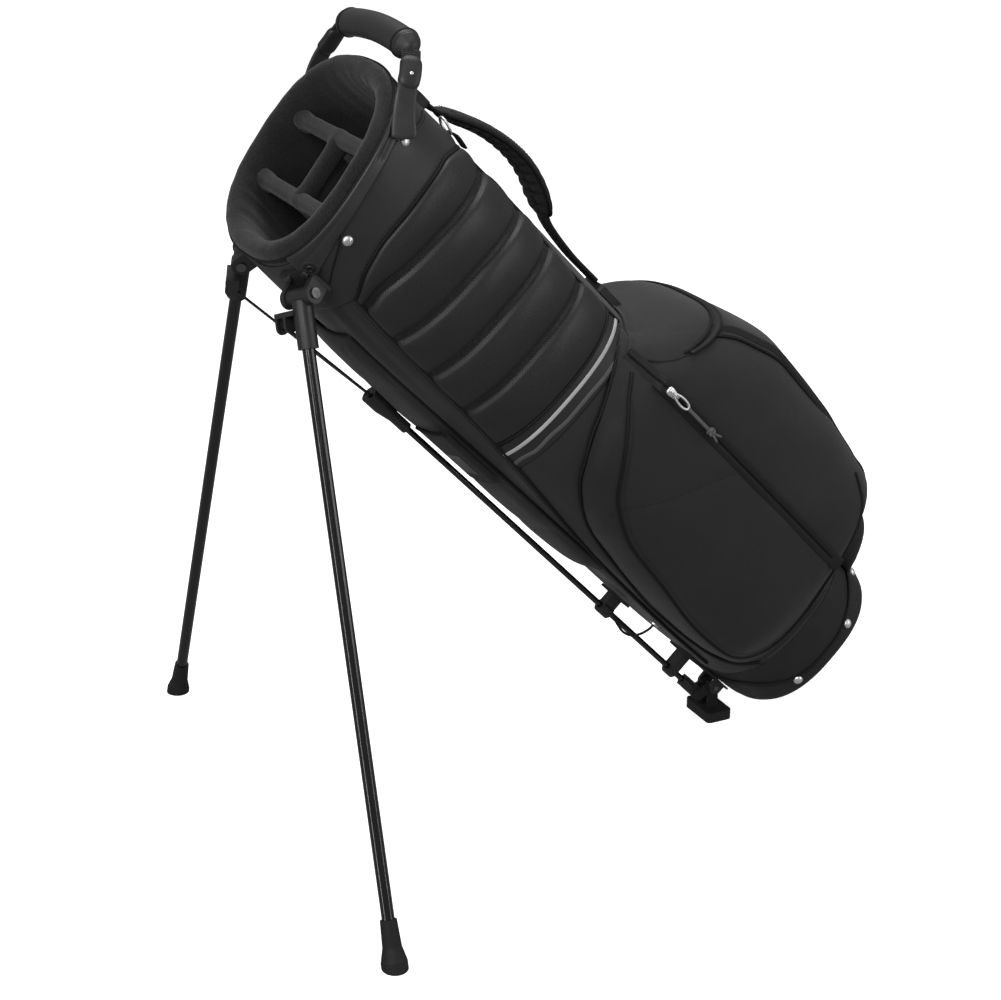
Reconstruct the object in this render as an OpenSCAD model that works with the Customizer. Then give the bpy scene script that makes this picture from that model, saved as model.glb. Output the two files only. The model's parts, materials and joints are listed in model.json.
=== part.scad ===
// Golf stand bag, standing on its two open legs and the foot block at its base.
// Each piece is drawn in the bag's own frame and set down by stand(): Z runs along the bag from
// the base to the mouth, +X is the strap side, -X the leg side, and Y runs across the bag.
// In the world frame Z = 0 is the ground, and X = 0 is the middle of the standing bag.

/* [Bag] */
// Length of the bag from its base to the middle of its mouth
bag_l = 850; // [830:1:860]
// Width of the mouth across the bag
mouth_w = 236; // [232:1:240]
// Depth of the mouth from the leg side to the strap side
mouth_d = 214; // [210:1:218]
// Thickness of the bag's wall
wall = 2.5; // [2:0.1:3]
// Rise of the mouth towards the strap side, per millimetre of depth
mouth_tilt = 0.16; // [0.14:0.01:0.18]
// Angle between the standing bag and the vertical
lean = 43.4; // [43:0.1:44]

/* [Stand] */
// Angle that each leg swings through as the stand opens
leg_open = 49.5; // [49:0.1:50]
// Angle by which each leg swings out to its own side
leg_splay = 30; // [29:0.5:31]
// Diameter of the leg tubes
leg_d = 12.5; // [11:0.5:13]
// Diameter of the push rod
rod_d = 6.8; // [6:0.2:7]
// Diameter of the two spring wires
wire_d = 3; // [2.5:0.1:3.2]
// Length of the lever on each leg that the wire moves
lever_r = 27; // [26:0.5:28]

/* [Pockets] */
// How far the ball pocket stands out from the middle of the bag
ball_out = 205; // [180:1:210]
// Half of the width across both side pockets
side_out = 134; // [130:1:138]
// Lowest point of the pockets
pocket_low = 92; // [88:1:100]

/* [Handle] */
// Diameter of the padded grip
grip_d = 29; // [26:1:30]
// Half of the grip's length
grip_half = 70; // [66:1:74]

/* [Hidden] */
$fn = 48;

// Where the bag's base stands over the ground, and how far the whole is moved to centre it
base_x = 88.6;
base_z = 86.4;
centre_x = -208.5;
n_around = 56;       // points around one cross-section
body_n = 2.5;        // squareness of the bag's cross-section
gap = 0.3;           // clearance between pieces that are clipped together
sewn = 1;            // clearance between the wall and what is sewn on it
wall_edge = 32;      // angle at which the side walls meet the spine
under_edge = 134;    // angle at which the side walls meet the underside
boot_top = 72;
boot_floor = 20;
collar_low = 798;
mouth_v = mouth_d / 2;
mouth_y = mouth_w / 2;
half_v = [[0, 97], [60, 101], [300, 107], [700, 110], [790, 108], [bag_l, mouth_v]];
half_y = [[0, 97], [60, 101], [300, 107], [700, 111], [790, 115], [bag_l, mouth_y]];

// Leg hinges: X and Y in the cross-section and Z along the bag
hinge_x = -108;
hinge_y = 82;
hinge_z = 795;
hinge_h = base_z + hinge_z * cos(lean) + hinge_x * sin(lean);
leg_fall = cos(leg_open) * cos(lean) + sin(leg_open) * cos(leg_splay) * sin(lean);
leg_l = hinge_h / leg_fall;
lever_angle = 14.5;  // between the leg and its lever
lever_y = 20;        // lever's distance beside the leg
lever_x = -lever_r * sin(lever_angle);
lever_z = lever_r * cos(lever_angle);

// Push rod, Y connector and foot block
rod_x = -129;
rod_low = 58;
rod_top = 590;
rod_stroke = 14.3;   // how far the rod slides as the legs fold
y_top = 624;
wire_y = 4;
foot_x = -111;
foot_z = 37.1;
foot_arm_r = 19.4;
foot_arm_angle = 21.7;
crank_x = foot_x - foot_arm_r * cos(foot_arm_angle);
crank_z = foot_z + foot_arm_r * sin(foot_arm_angle);
foot_h = base_z + foot_z * cos(lean) + foot_x * sin(lean);

// Side zips and their sliders
zip_x = 72;
zip_low = 138;
zip_high = 452;
slider_z = 438;
pull_y = side_out + 7.2;

// Routes of the strap's centre line, the cords and the handle's core, in the bag's frame;
// the pull cord's Y is counted from its slider's pull
strap_route = [[117, 0, 796], [120, 0, 780], [131, 0, 756], [141, 0, 730], [147, 0, 702],
    [148, 0, 674], [143, 0, 648], [132, 0, 622], [123, 0, 602], [118, 0, 560], [118, 0, 518]];
pull_route = [[72, 0, 414], [72, 0, 408], [72, 0, 402], [72, 0, 396], [72, 0, 390], [72, 0, 384],
    [72, 0, 379]];
keeper_route = [[-129, -10, 216], [-133, -13, 205], [-135, -15, 194], [-132, -17, 184],
    [-124, -19, 177], [-114, -20, 173], [-105.5, -20, 172]];
core_route = [[126, -92, 874], [130, -78, 877], [134, -45, 880], [136, 0, 881],
    [134, 45, 880], [130, 78, 877], [126, 92, 874]];

// ---- Frames -------------------------------------------------------------------------------

module stand() {
    translate([base_x - centre_x, 0, base_z]) rotate([0, -lean, 0]) children();
}

// Hinge of one leg: X points away from the bag, Y along the hinge pin, Z along the bag
module hinge_frame(side) {
    translate([hinge_x, side * hinge_y, hinge_z]) rotate([0, 0, 180 - side * leg_splay]) children();
}

// Leg as it stands open: Z runs down the leg from the hinge
module leg_frame(side) {
    hinge_frame(side) rotate([0, 180 - leg_open, 0]) children();
}

// ---- Cross-sections and closed skins ------------------------------------------------------

function soft_pow(x, n) = sign(x) * pow(abs(x), 2 / n);
function oval(a, hx, hy, n) = [hx * soft_pow(cos(a), n), hy * soft_pow(sin(a), n)];
function hv(u) = lookup(u, half_v);
function hy(u) = lookup(u, half_y);
function at_wall(a, u, d, tilt = 0) =
    let (p = oval(a, hv(u) + d, hy(u) + d, body_n)) [p[0], p[1], u + tilt * p[0]];
function unit(v) = v / norm(v);

// Angle at which the bag's wall, d outside it, passes a given X
function angle_at(x, u) = acos(sign(x) * pow(min(1, abs(x) / hv(u)), body_n / 2));

// Faces of a grid of points, rows by columns, closed both ways where asked
function quad(a, b, c, d) = [[a, b, c], [a, c, d]];
function grid_faces(rows, cols, wrap_rows, wrap_cols) = [
    for (i = [0 : rows - (wrap_rows ? 1 : 2)], j = [0 : cols - (wrap_cols ? 1 : 2)])
        let (i2 = (i + 1) % rows, j2 = (j + 1) % cols)
            each quad(i * cols + j, i2 * cols + j, i2 * cols + j2, i * cols + j2)
];
function cap(start, count, flip) =
    [[for (j = [0 : count - 1]) start + (flip ? count - 1 - j : j)]];

// A ring right around the bag, from a profile of [offset, height, share of the mouth's tilt]
module around(profile) {
    polyhedron([for (p = profile) for (j = [0 : n_around - 1])
            at_wall(360 * j / n_around, p[1], p[0], p[2] * mouth_tilt)],
        grid_faces(len(profile), n_around, true, true), convexity = 8);
}

// A closed skin through whole cross-sections, each one a list of points
module skin(rings) {
    count = len(rings[0]);
    polyhedron([for (r = rings) each r],
        concat(grid_faces(len(rings), count, false, true), cap(0, count, false),
            cap((len(rings) - 1) * count, count, true)), convexity = 8);
}

// A slab between an inner and an outer grid of points of the same size
module slab(inner, outer) {
    rows = len(inner);
    cols = len(inner[0]);
    size = rows * cols;
    over = grid_faces(rows, cols, false, false);
    under = [for (f = over) [f[2] + size, f[1] + size, f[0] + size]];
    ends = [for (j = [0 : cols - 2]) each concat(quad(j, j + 1, size + j + 1, size + j),
        let (k = (rows - 1) * cols + j) quad(k + 1, k, size + k, size + k + 1))];
    edges = [for (i = [0 : rows - 2]) each concat(
        quad((i + 1) * cols, i * cols, size + i * cols, size + (i + 1) * cols),
        let (k = i * cols + cols - 1) quad(k, k + cols, size + k + cols, size + k))];
    polyhedron([for (r = outer) each r, for (r = inner) each r],
        concat(over, under, ends, edges), convexity = 8);
}

// A tube through a list of points, with half sizes across and along its section
module tube_along(route, rx, ry, sides, ref = [0, 1, 0]) {
    last = len(route) - 1;
    skin([for (i = [0 : last])
        let (t = unit(route[min(i + 1, last)] - route[max(i - 1, 0)]),
            a = unit(cross(ref, t)), b = cross(t, a))
        [for (k = [0 : sides - 1])
            route[i] + rx * cos(360 * k / sides) * a + ry * sin(360 * k / sides) * b]]);
}

// A panel on the wall between two angles and two heights, from d0 to d1 outside the wall
module wall_panel(angles, u0, u1, d0, d1, cols = 12, rows = 6, tilt = 0) {
    a0 = min(angles);
    a1 = max(angles);
    function sheet(d) = [for (i = [0 : rows]) [for (j = [0 : cols])
        at_wall(a0 + (a1 - a0) * j / cols, u0 + (u1 - u0) * i / rows, d, tilt)]];
    slab(sheet(d0), sheet(d1));
}

module rounded_bar(size, r) {
    translate([-size[0] / 2, -size[1] / 2, 0]) linear_extrude(size[2])
        translate([r, r]) offset(r, $fn = 24) square([size[0] - 2 * r, size[1] - 2 * r]);
}

// ---- Bag ----------------------------------------------------------------------------------

// One wall between two angles: stiff strips side by side, so that it can curve round the bag.
// Each strip is its own solid in three lengths, so nothing spans the hollow inside the wall.
strip_gap = 0.35;    // angle left free at each edge of a strip, in degrees
length_gap = 0.6;    // gap between two lengths of a strip
module wall_strips(a0, a1, count) {
    inset = 4;
    low = [[boot_floor + gap, -inset, -inset - wall, 0], [boot_top, -inset, -inset - wall, 0]];
    middle = [[boot_top + gap, 0, -wall, 0], [180, 0, -wall, 0], [300, 0, -wall, 0],
        [430, 0, -wall, 0]];
    high = [[430 + length_gap, 0, -wall, 0], [560, 0, -wall, 0], [700, 0, -wall, 0],
        [collar_low - gap, 0, -wall, mouth_tilt]];
    steps = 3;
    each_strip = (a1 - a0) / count;
    color([0.13, 0.13, 0.14]) stand() for (k = [0 : count - 1], rows = [low, middle, high]) {
        first = a0 + each_strip * k + strip_gap;
        angles = [for (j = [0 : steps]) first + (each_strip - 2 * strip_gap) * j / steps];
        slab([for (r = rows) [for (a = angles) at_wall(a, r[0], r[2], r[3])]],
            [for (r = rows) [for (a = angles) at_wall(a, r[0], r[1], r[3])]]);
    }
}
module side_wall_left() { wall_strips(wall_edge, under_edge, 6); }
module side_wall_right() { wall_strips(-under_edge, -wall_edge, 6); }
module spine_wall() { wall_strips(-wall_edge, wall_edge, 4); }
module underside_wall() { wall_strips(under_edge, 360 - under_edge, 6); }

module base_boot() {
    edge = [[-13, 0], [-7, 2], [-2, 8], [0, 18], [0, boot_top]];
    lip = [[-3.5, boot_top], [-3.5, boot_floor]];
    color([0.1, 0.1, 0.11]) stand() difference() {
        skin([for (p = concat(edge, lip)) [for (j = [0 : n_around - 1])
            at_wall(360 * j / n_around, p[1], p[0])]]);
        translate([-140, -29, -1]) cube([48, 58, 15]);
    }
}

module top_collar() {
    color([0.16, 0.16, 0.17]) stand() around([
        [0, collar_low, 1], [0, bag_l - 10, 1], [-4, bag_l - 10, 1], [-4, collar_low - 18, 1],
        [-wall - gap, collar_low - 18, 1], [-wall - gap, collar_low, 1]]);
}

module rim_padding() {
    color([0.15, 0.15, 0.16]) stand() around([for (p = [
        [0, -9.5], [1, -3], [-2, 4], [-8, 7], [-14, 5], [-18, -2], [-20, -16],
        [-16, -30], [-10, -42], [-4.4, -46], [-4.4, -9.5]]) [p[0], bag_l + p[1], 1]]);
}

// One padded bar of the divider frame, lying across the mouth
module divider_bar(x) {
    length = 2 * (mouth_y - 29);
    translate([x, 0, bag_l - 22 + mouth_tilt * x]) rotate([90, 0, 0])
        linear_extrude(length, center = true) offset(4, $fn = 24) square([8, 14], center = true);
}

bar_x = 35;
module divider_frame() {
    color([0.17, 0.17, 0.18]) stand() {
        divider_bar(bar_x);
        divider_bar(-bar_x);
        translate([0, 0, bag_l - 22]) rotate([0, 90 - atan(mouth_tilt), 0])
            linear_extrude(2 * (bar_x - 8.3), center = true)
                offset(4, $fn = 24) square([14, 8], center = true);
    }
}

module divider_cross_sheets() {
    color([0.12, 0.12, 0.13]) stand() {
        translate([bar_x - 1.2, -84, 60]) cube([2.4, 168, bag_l - 100]);
        translate([-bar_x - 1.2, -84, 60]) cube([2.4, 168, bag_l - 108]);
    }
}

module divider_middle_sheet() {
    color([0.12, 0.12, 0.13]) stand()
        translate([-bar_x + 2, -1.2, 60]) cube([2 * bar_x - 4, 2.4, bag_l - 108]);
}

// Stiffening rods inside the wall, from the boot to the collar
module stays() {
    color([0.3, 0.3, 0.3]) stand() for (p = [[0, 89], [0, -89], [89, 0]])
        translate([p[0], p[1], boot_floor + gap]) cylinder(d = 5, h = bag_l - boot_floor - 120, $fn = 24);
}

// ---- Panels and trim ----------------------------------------------------------------------

quilt_low = 526;
quilt_high = 782;
module quilted_panel(side) {
    color([0.14, 0.14, 0.15]) stand()
        wall_panel([side * 34, side * 132], quilt_low, quilt_high, sewn, 7, 14, 8);
}
module quilted_panel_left() { quilted_panel(1); }
module quilted_panel_right() { quilted_panel(-1); }

module stripes(first_angle, u0, u1) {
    for (side = [-1, 1]) wall_panel([side * first_angle, side * 140], u0, u1, sewn, 2.5, 12, 1);
}
module stripe_bright() { color([0.75, 0.75, 0.76]) stand() stripes(46, 505, 511); }
module stripe_dark() { color([0.4, 0.4, 0.42]) stand() stripes(70, 490, 494); }

module hip_pad() {
    color([0.14, 0.14, 0.15]) stand() wall_panel([153, 207], 300, 720, sewn, 9.5, 8, 8);
}

module valuables_sleeve() {
    color([0.1, 0.1, 0.1]) stand() wall_panel([186, 205], 480, 566, 10, 15, 6, 2);
}

module sleeve_label() {
    color([0.5, 0.5, 0.5]) stand() wall_panel([191, 200], 500, 530, 15.2, 16, 3, 1);
}

// ---- Pockets ------------------------------------------------------------------------------

pocket_high = 500;
ball_high = 470;
side_edge = 38;      // angle where the side pockets meet the ball pocket
pocket_x = [[pocket_low, 150], [140, 188], [230, ball_out - 3], [340, ball_out], [400, 186],
    [440, 155], [ball_high, 122], [pocket_high, 114]];
pocket_y = [[pocket_low, 112], [130, side_out], [445, side_out], [pocket_high, 116]];
leg_edge = [[pocket_low, 20], [114, -52], [190, -86], [300, -80], [400, -52], [450, 0],
    [pocket_high, 60]];

// Point of the pockets' outer skin: an oval whose strap side stands further out
function on_pocket(a, u) =
    let (out = lookup(u, pocket_x), back = hv(u), mid = (out - back) / 2,
        p = oval(a, (out + back) / 2, lookup(u, pocket_y), 3.2)) [p[0] + mid, p[1], u];
function rise(t) = sqrt(1 - pow(1 - min(1, max(0, t)), 2));
function pocket_point(a, u, fill) =
    let (p = at_wall(a, u, 4), q = on_pocket(a, u)) p + (q - p) * fill;
ball_low = 46;
function on_ball(a, u) =
    pocket_point(a, max(u, pocket_low), rise((u - ball_low) / 40) * rise((ball_high - u) / 50))
        + [0, 0, min(0, u - pocket_low)];

// Heights of a side pocket's rows: close together where its lower corner is cut round
pocket_fine = 6;
function pocket_row(i) = i <= 4 ? pocket_low + pocket_fine * i
    : pocket_low + 4 * pocket_fine + (pocket_high - pocket_low - 4 * pocket_fine) * (i - 4) / 12;
module side_pocket(side) {
    rows = 16;
    cols = 14;
    inner = [for (i = [0 : rows]) let (u = pocket_row(i), far = angle_at(lookup(u, leg_edge), u))
        [for (j = [0 : cols]) at_wall(side * (side_edge + (far - side_edge) * j / cols), u, 2 * sewn)]];
    outer = [for (i = [0 : rows]) let (u = pocket_row(i), far = angle_at(lookup(u, leg_edge), u))
        [for (j = [0 : cols])
            let (a = side_edge + (far - side_edge) * j / cols,
                fill = rise((far - a) / 42) * rise((u - pocket_low) / 30)
                    * rise((pocket_high - u) / 70))
            pocket_point(side * a, u, fill)]];
    color([0.12, 0.12, 0.13]) stand()
        if (side > 0) slab(inner, outer); else mirror([0, 1, 0]) slab(
            [for (r = inner) [for (p = r) [p[0], -p[1], p[2]]]],
            [for (r = outer) [for (p = r) [p[0], -p[1], p[2]]]]);
}
module side_pocket_left() { side_pocket(1); }
module side_pocket_right() { side_pocket(-1); }

module ball_pocket() {
    rows = 14;
    cols = 12;
    spread = side_edge - 0.6;
    function row(i) = ball_low + (ball_high - ball_low) * i / rows;
    color([0.12, 0.12, 0.13]) stand() slab(
        [for (i = [0 : rows]) [for (j = [0 : cols]) at_wall(spread * (2 * j / cols - 1), row(i), sewn)]],
        [for (i = [0 : rows]) [for (j = [0 : cols]) on_ball(spread * (2 * j / cols - 1), row(i))]]);
}

// Small pocket on the slope above the ball pocket, and the zip across it
slope = [0.737, 0, 0.675];
module on_slope(spread, u0, u1, d0, d1) {
    rows = 6;
    cols = 8;
    function sheet(d, puff) = [for (i = [0 : rows]) [for (j = [0 : cols])
        let (x = 2 * j / cols - 1, y = 2 * i / rows - 1)
            on_ball(spread * x, u0 + (u1 - u0) * i / rows)
                + slope * (d + puff * (1 - x * x) * (1 - y * y))]];
    slab(sheet(d0, 0), sheet(d1, (d1 - d0) * 0.8));
}
module top_pocket() { color([0.13, 0.13, 0.14]) stand() on_slope(27, 378, 462, 1, 5); }
module top_pocket_zip() { color([0.2, 0.2, 0.2]) stand() on_slope(24, 366, 373, 1, 2); }

module side_zip(side) {
    color([0.18, 0.18, 0.18]) stand()
        translate([zip_x - 9, side * (side_out + 1.2) - 0.6, zip_low])
            cube([18, 1.2, zip_high - zip_low]);
}
module zip_left() { side_zip(1); }
module zip_right() { side_zip(-1); }

module zip_slider(side) {
    color([0.8, 0.8, 0.8]) stand() translate([zip_x, side * (side_out + 2.2), slider_z])
        rotate([side > 0 ? -90 : 90, 0, 0]) {
            rounded_bar([9, 15, 3], 2);
            difference() {
                translate([0, 0, 5]) rotate([0, 90, 0]) cylinder(r = 3.4, h = 3, center = true);
                translate([0, 0, 5]) rotate([0, 90, 0]) cylinder(r = 1.6, h = 6, center = true);
            }
        }
}
module zip_slider_left() { zip_slider(1); }
module zip_slider_right() { zip_slider(-1); }

// Wire loop that hangs from a slider, and the knot at the end of its cord
module zip_pull(side) {
    color([0.8, 0.8, 0.8]) stand() translate([zip_x, side * pull_y, slider_z]) {
        rotate([0, 90, 0]) cylinder(r = 1.2, h = 9, center = true, $fn = 24);
        for (x = [-5.5, 5.5]) translate([x, 0, -22]) cylinder(r = 1.2, h = 23, $fn = 24);
        translate([0, 0, -22]) rotate([0, 90, 0]) cylinder(r = 1.2, h = 13, center = true, $fn = 24);
        translate([0, 0, -64]) sphere(r = 4.2, $fn = 24);
    }
}
module zip_pull_left() { zip_pull(1); }
module zip_pull_right() { zip_pull(-1); }

module pull_cord(side) {
    color([0.4, 0.4, 0.4]) stand()
        tube_along([for (p = pull_route) [p[0], side * (pull_y + p[1]), p[2]]], 1.9, 1.9, 8, [1, 0, 0]);
}
module pull_cord_left() { pull_cord(1); }
module pull_cord_right() { pull_cord(-1); }

// ---- Rivets, handle and strap -------------------------------------------------------------

// A domed rivet on the wall at an angle and height
module wall_rivet(a, u, d) {
    p = at_wall(a, u, d);
    q = at_wall(a + 1, u, d) - at_wall(a - 1, u, d);
    translate(p) rotate([0, 0, atan2(q[1], q[0])]) rotate([90, 0, 0]) intersection() {
        translate([0, 0, -7]) sphere(r = 9, $fn = 32);
        cylinder(r = 5.5, h = 4);
    }
}

module rivet_pair(places, d) {
    for (p = places) {
        wall_rivet(p[0], p[1], d);
        mirror([0, 1, 0]) wall_rivet(p[0], p[1], d);
    }
}

module dome_rivets() {
    color([0.85, 0.85, 0.85]) stand()
        rivet_pair([[61, 832], [108, 812], [112, 22], [72, 22], [30, 34]], sewn);
}

// Moulded arm: a band along the collar's side that rises to the grip's end
module handle_arm(side) {
    post = [[70, 114, 848], [88, 108, 860], [108, 98, 868], [120, 88, 873]];
    color([0.16, 0.16, 0.17]) stand() {
        wall_panel([side * 52, side * 132], bag_l - 17, bag_l - 3, 1.4, 4.5, 12, 1, mouth_tilt);
        for (i = [0 : 2]) hull() for (k = [i, i + 1])
            translate([post[k][0], side * post[k][1], post[k][2]])
                rotate([0, 60, 0]) cylinder(r = 7, h = 9, center = true, $fn = 20);
    }
}
module handle_arm_left() { handle_arm(1); }
module handle_arm_right() { handle_arm(-1); }

module handle_core() {
    color([0.1, 0.1, 0.1]) stand()
        tube_along([for (p = core_route) if (abs(p[1]) < 80) p], 5, 5, 12, [1, 0, 0]);
}

module handle_grip() {
    inner = 5 + 3 * gap;
    color([0.17, 0.17, 0.18]) stand() difference() {
        tube_along([for (p = core_route) if (abs(p[1]) < 80) [p[0], p[1] * grip_half / 78, p[2]]],
            grip_d / 2, grip_d / 2, 20, [1, 0, 0]);
        tube_along([for (p = core_route) if (abs(p[1]) < 80) [p[0], p[1] * 1.1, p[2]]],
            inner, inner, 12, [1, 0, 0]);
    }
}

module shoulder_strap() {
    color([0.12, 0.12, 0.12]) stand() tube_along(strap_route, 6.5, 26, 12);
}

// Buckle at the strap's lower end and the moulded tab that holds its upper end
module strap_hardware() {
    color([0.2, 0.2, 0.2]) stand() {
        translate([110, 0, 494]) rotate([0, 90, 0]) difference() {
            rounded_bar([40, 40, 8], 5);
            translate([0, 0, -1]) rounded_bar([18, 28, 10], 3);
        }
        translate([109.5, 0, 807]) rotate([0, 90, 0]) rounded_bar([20, 46, 9], 5);
    }
}

// ---- Leg stand ----------------------------------------------------------------------------

plate_x = -17;
ear_y = 13.6;
module leg_bracket(side) {
    color([0.14, 0.14, 0.15]) stand() hinge_frame(side) {
        difference() {
            translate([plate_x, -20, -14]) cube([4, 40, 34]);
            for (y = [-12, 12]) translate([plate_x - 1, y, 14]) rotate([0, 90, 0])
                cylinder(r = 2.2, h = 6);
        }
        for (y = [-ear_y - 6, ear_y]) difference() {
            union() {
                translate([0, y, 0]) rotate([-90, 0, 0]) cylinder(r = 10, h = 6);
                translate([plate_x + 4, y, -10]) cube([-plate_x - 4, 6, 20]);
            }
            translate([0, y - 1, 0]) rotate([-90, 0, 0]) cylinder(r = 3, h = 8);
        }
    }
}
module leg_bracket_left() { leg_bracket(1); }
module leg_bracket_right() { leg_bracket(-1); }

module leg_pins() {
    color([0.6, 0.6, 0.6]) stand() for (side = [-1, 1]) hinge_frame(side) {
        rotate([90, 0, 0]) cylinder(r = 3, h = 41, center = true);
        for (s = [-1, 1]) translate([0, s * 21, 0]) rotate([90, 0, 0])
            cylinder(r = 5, h = 1.6, center = true);
    }
}

module bracket_screws() {
    color([0.3, 0.3, 0.3]) stand() for (side = [-1, 1], y = [-12, 12])
        hinge_frame(side) translate([plate_x + 0.6, y, 14]) rotate([0, 90, 0]) {
            cylinder(r = 2.1, h = 3.4);
            translate([0, 0, 3.5]) cylinder(r = 4, h = 2);
            translate([0, 0, 3]) cylinder(r = 2.1, h = 1);
        }
}

// Socket that swings on the hinge pin, holds the leg's tube and carries the lever
module leg_socket(side) {
    cheek = 3;
    slot = 9;
    bar_z = 12.4;
    color([0.15, 0.15, 0.16]) stand() leg_frame(side) difference() {
        union() {
            rotate([90, 0, 0]) cylinder(r = 8.5, h = 26, center = true);
            translate([0, 0, 4]) cylinder(r = 10, h = 46);
            for (k = [-1, 1]) translate([lever_x, side * lever_y + k * (slot + cheek) / 2, 0]) {
                translate([0, 0, lever_z]) rotate([90, 0, 0])
                    cylinder(r = 6.5, h = cheek, center = true);
                translate([-6.5, -cheek / 2, bar_z]) cube([13, cheek, lever_z - bar_z]);
            }
            translate([lever_x, side * (lever_y / 2 + 4.5), bar_z + 2.5])
                cube([13, lever_y + 6, 5], center = true);
        }
        translate([0, 0, 14]) cylinder(r = leg_d / 2 + 0.05, h = 40);
        rotate([90, 0, 0]) cylinder(r = 3.06, h = 60, center = true);
        translate([0, side * 14.6, 0]) rotate([90, 0, 0])
            cylinder(r = 12, h = 3.1, center = true);
    }
}
module leg_socket_left() { leg_socket(1); }
module leg_socket_right() { leg_socket(-1); }

module leg_tube(side) {
    color([0.08, 0.08, 0.08]) stand() leg_frame(side) translate([0, 0, 14.2])
        difference() {
            cylinder(d = leg_d, h = leg_l - 32);
            translate([0, 0, -1]) cylinder(d = leg_d - 2.4, h = leg_l - 28);
        }
}
module leg_tube_left() { leg_tube(1); }
module leg_tube_right() { leg_tube(-1); }

// Rubber foot, flared and cut flat where it meets the ground
module leg_foot(side) {
    top = leg_l - 46;
    color([0.1, 0.1, 0.1]) intersection() {
        stand() leg_frame(side) difference() {
            union() {
                translate([0, 0, top]) cylinder(r1 = 8.2, r2 = 9.5, h = 26);
                translate([0, 0, top + 26]) cylinder(r1 = 9.5, r2 = 13, h = 14);
                translate([0, 0, top + 40]) cylinder(r = 13, h = 14);
            }
            translate([0, 0, top - 1]) cylinder(d = leg_d + 0.1, h = 29.4);
        }
        translate([-900, -600, 0]) cube([1800, 1200, 200]);
    }
}
module leg_foot_left() { leg_foot(1); }
module leg_foot_right() { leg_foot(-1); }

// Both ends of a spring wire, in the bag's frame: at the Y connector, and at the lever when the
// leg has swung open by a given angle
function wire_start(side) = [rod_x, side * wire_y, y_top];
function wire_end(side, opened = leg_open) =
    let (swing = opened + lever_angle, out = lever_r * sin(swing),
        down = lever_r * cos(swing))
    [hinge_x - out * cos(leg_splay) - lever_y * sin(leg_splay),
        side * (hinge_y + out * sin(leg_splay) - lever_y * cos(leg_splay)), hinge_z - down];

module along(from, to) {
    d = to - from;
    translate(from) rotate([0, 0, atan2(d[1], d[0])])
        rotate([0, acos(d[2] / norm(d)), 0]) children();
}

// A wire turns on a small barrel that lies across the plane it swings in
module spring_wire(side) {
    a = wire_start(side);
    b = wire_end(side);
    across = unit(cross(b - a, wire_end(side, 0) + [0, 0, rod_stroke] - a));
    color([0.2, 0.2, 0.2]) stand() {
        along(a, b) cylinder(d = wire_d, h = norm(b - a), $fn = 24);
        along(a - 1.8 * across, a + 1.8 * across) cylinder(r = 2, h = 3.6);
        translate(b) sphere(r = 2.4, $fn = 24);
    }
}
module spring_wire_left() { spring_wire(1); }
module spring_wire_right() { spring_wire(-1); }

module y_connector() {
    color([0.1, 0.1, 0.1]) stand() difference() {
        union() {
            translate([rod_x, 0, y_top - 36]) cylinder(r1 = 6.2, r2 = 9.4, h = 20);
            translate([rod_x, 0, y_top - 16]) cylinder(r = 9.4, h = 19);
            translate([rod_x, 0, y_top - 56]) cylinder(r = 6.2, h = 20);
        }
        translate([rod_x, 0, y_top - 58]) cylinder(d = rod_d + 0.1, h = rod_top - y_top + 58.2);
        for (side = [-1, 1]) {
            along(wire_start(side), wire_end(side)) translate([0, 0, -2.6])
                cylinder(r = 2.9, h = 20, $fn = 24);
        }
    }
}

module push_rod() {
    color([0.08, 0.08, 0.08]) stand() translate([rod_x, 0, rod_low])
        cylinder(d = rod_d, h = rod_top - rod_low);
}

// Flat end of the rod, with a slot for the foot block's crank pin
module rod_end() {
    slot_r = 2.9;
    color([0.12, 0.12, 0.12]) stand() difference() {
        union() {
            translate([rod_x - 7, -3.4, crank_z - 7]) cube([14, 6.8, rod_low - crank_z + 22]);
            translate([rod_x, 0, rod_low]) cylinder(r = 6, h = 15);
        }
        translate([rod_x, 0, rod_low]) cylinder(d = rod_d + 0.1, h = 30);
        for (x = [-2, 0.4]) translate([rod_x + x, 0, crank_z]) rotate([90, 0, 0])
            cylinder(r = slot_r, h = 20, center = true);
        translate([rod_x - 2, -10, crank_z - slot_r]) cube([2.4, 20, 2 * slot_r]);
    }
}

module rod_guide() {
    color([0.12, 0.12, 0.12]) stand() difference() {
        union() {
            translate([rod_x, 0, 90]) cylinder(r = 8, h = 12);
            translate([rod_x, -8, 90]) cube([24, 16, 12]);
            translate([-106.5, -18, 84]) cube([3, 36, 24]);
        }
        translate([rod_x, 0, 80]) cylinder(d = rod_d + 0.8, h = 40);
    }
}

module keeper_clip() {
    color([0.12, 0.12, 0.12]) stand() difference() {
        union() {
            translate([rod_x, 0, 216]) cylinder(r = 8, h = 16);
            translate([rod_x, -6, 216]) cube([17.5, 12, 16]);
            translate([-111.5, -12, 208]) cube([3, 24, 32]);
        }
        translate([rod_x, 0, 200]) cylinder(d = rod_d + 0.8, h = 60);
    }
}

module keeper_cord() {
    color([0.15, 0.15, 0.15]) stand() tube_along(keeper_route, 1.5, 1.5, 8, [1, 0, 0]);
}

module keeper_eyelet() {
    color([0.8, 0.8, 0.8]) stand() translate([-106.6, -20, 172]) rotate([0, 90, 0]) difference() {
        cylinder(r = 6, h = 2);
        translate([0, 0, -1]) cylinder(r = 3, h = 4);
    }
}

// ---- Foot block ---------------------------------------------------------------------------

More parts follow.
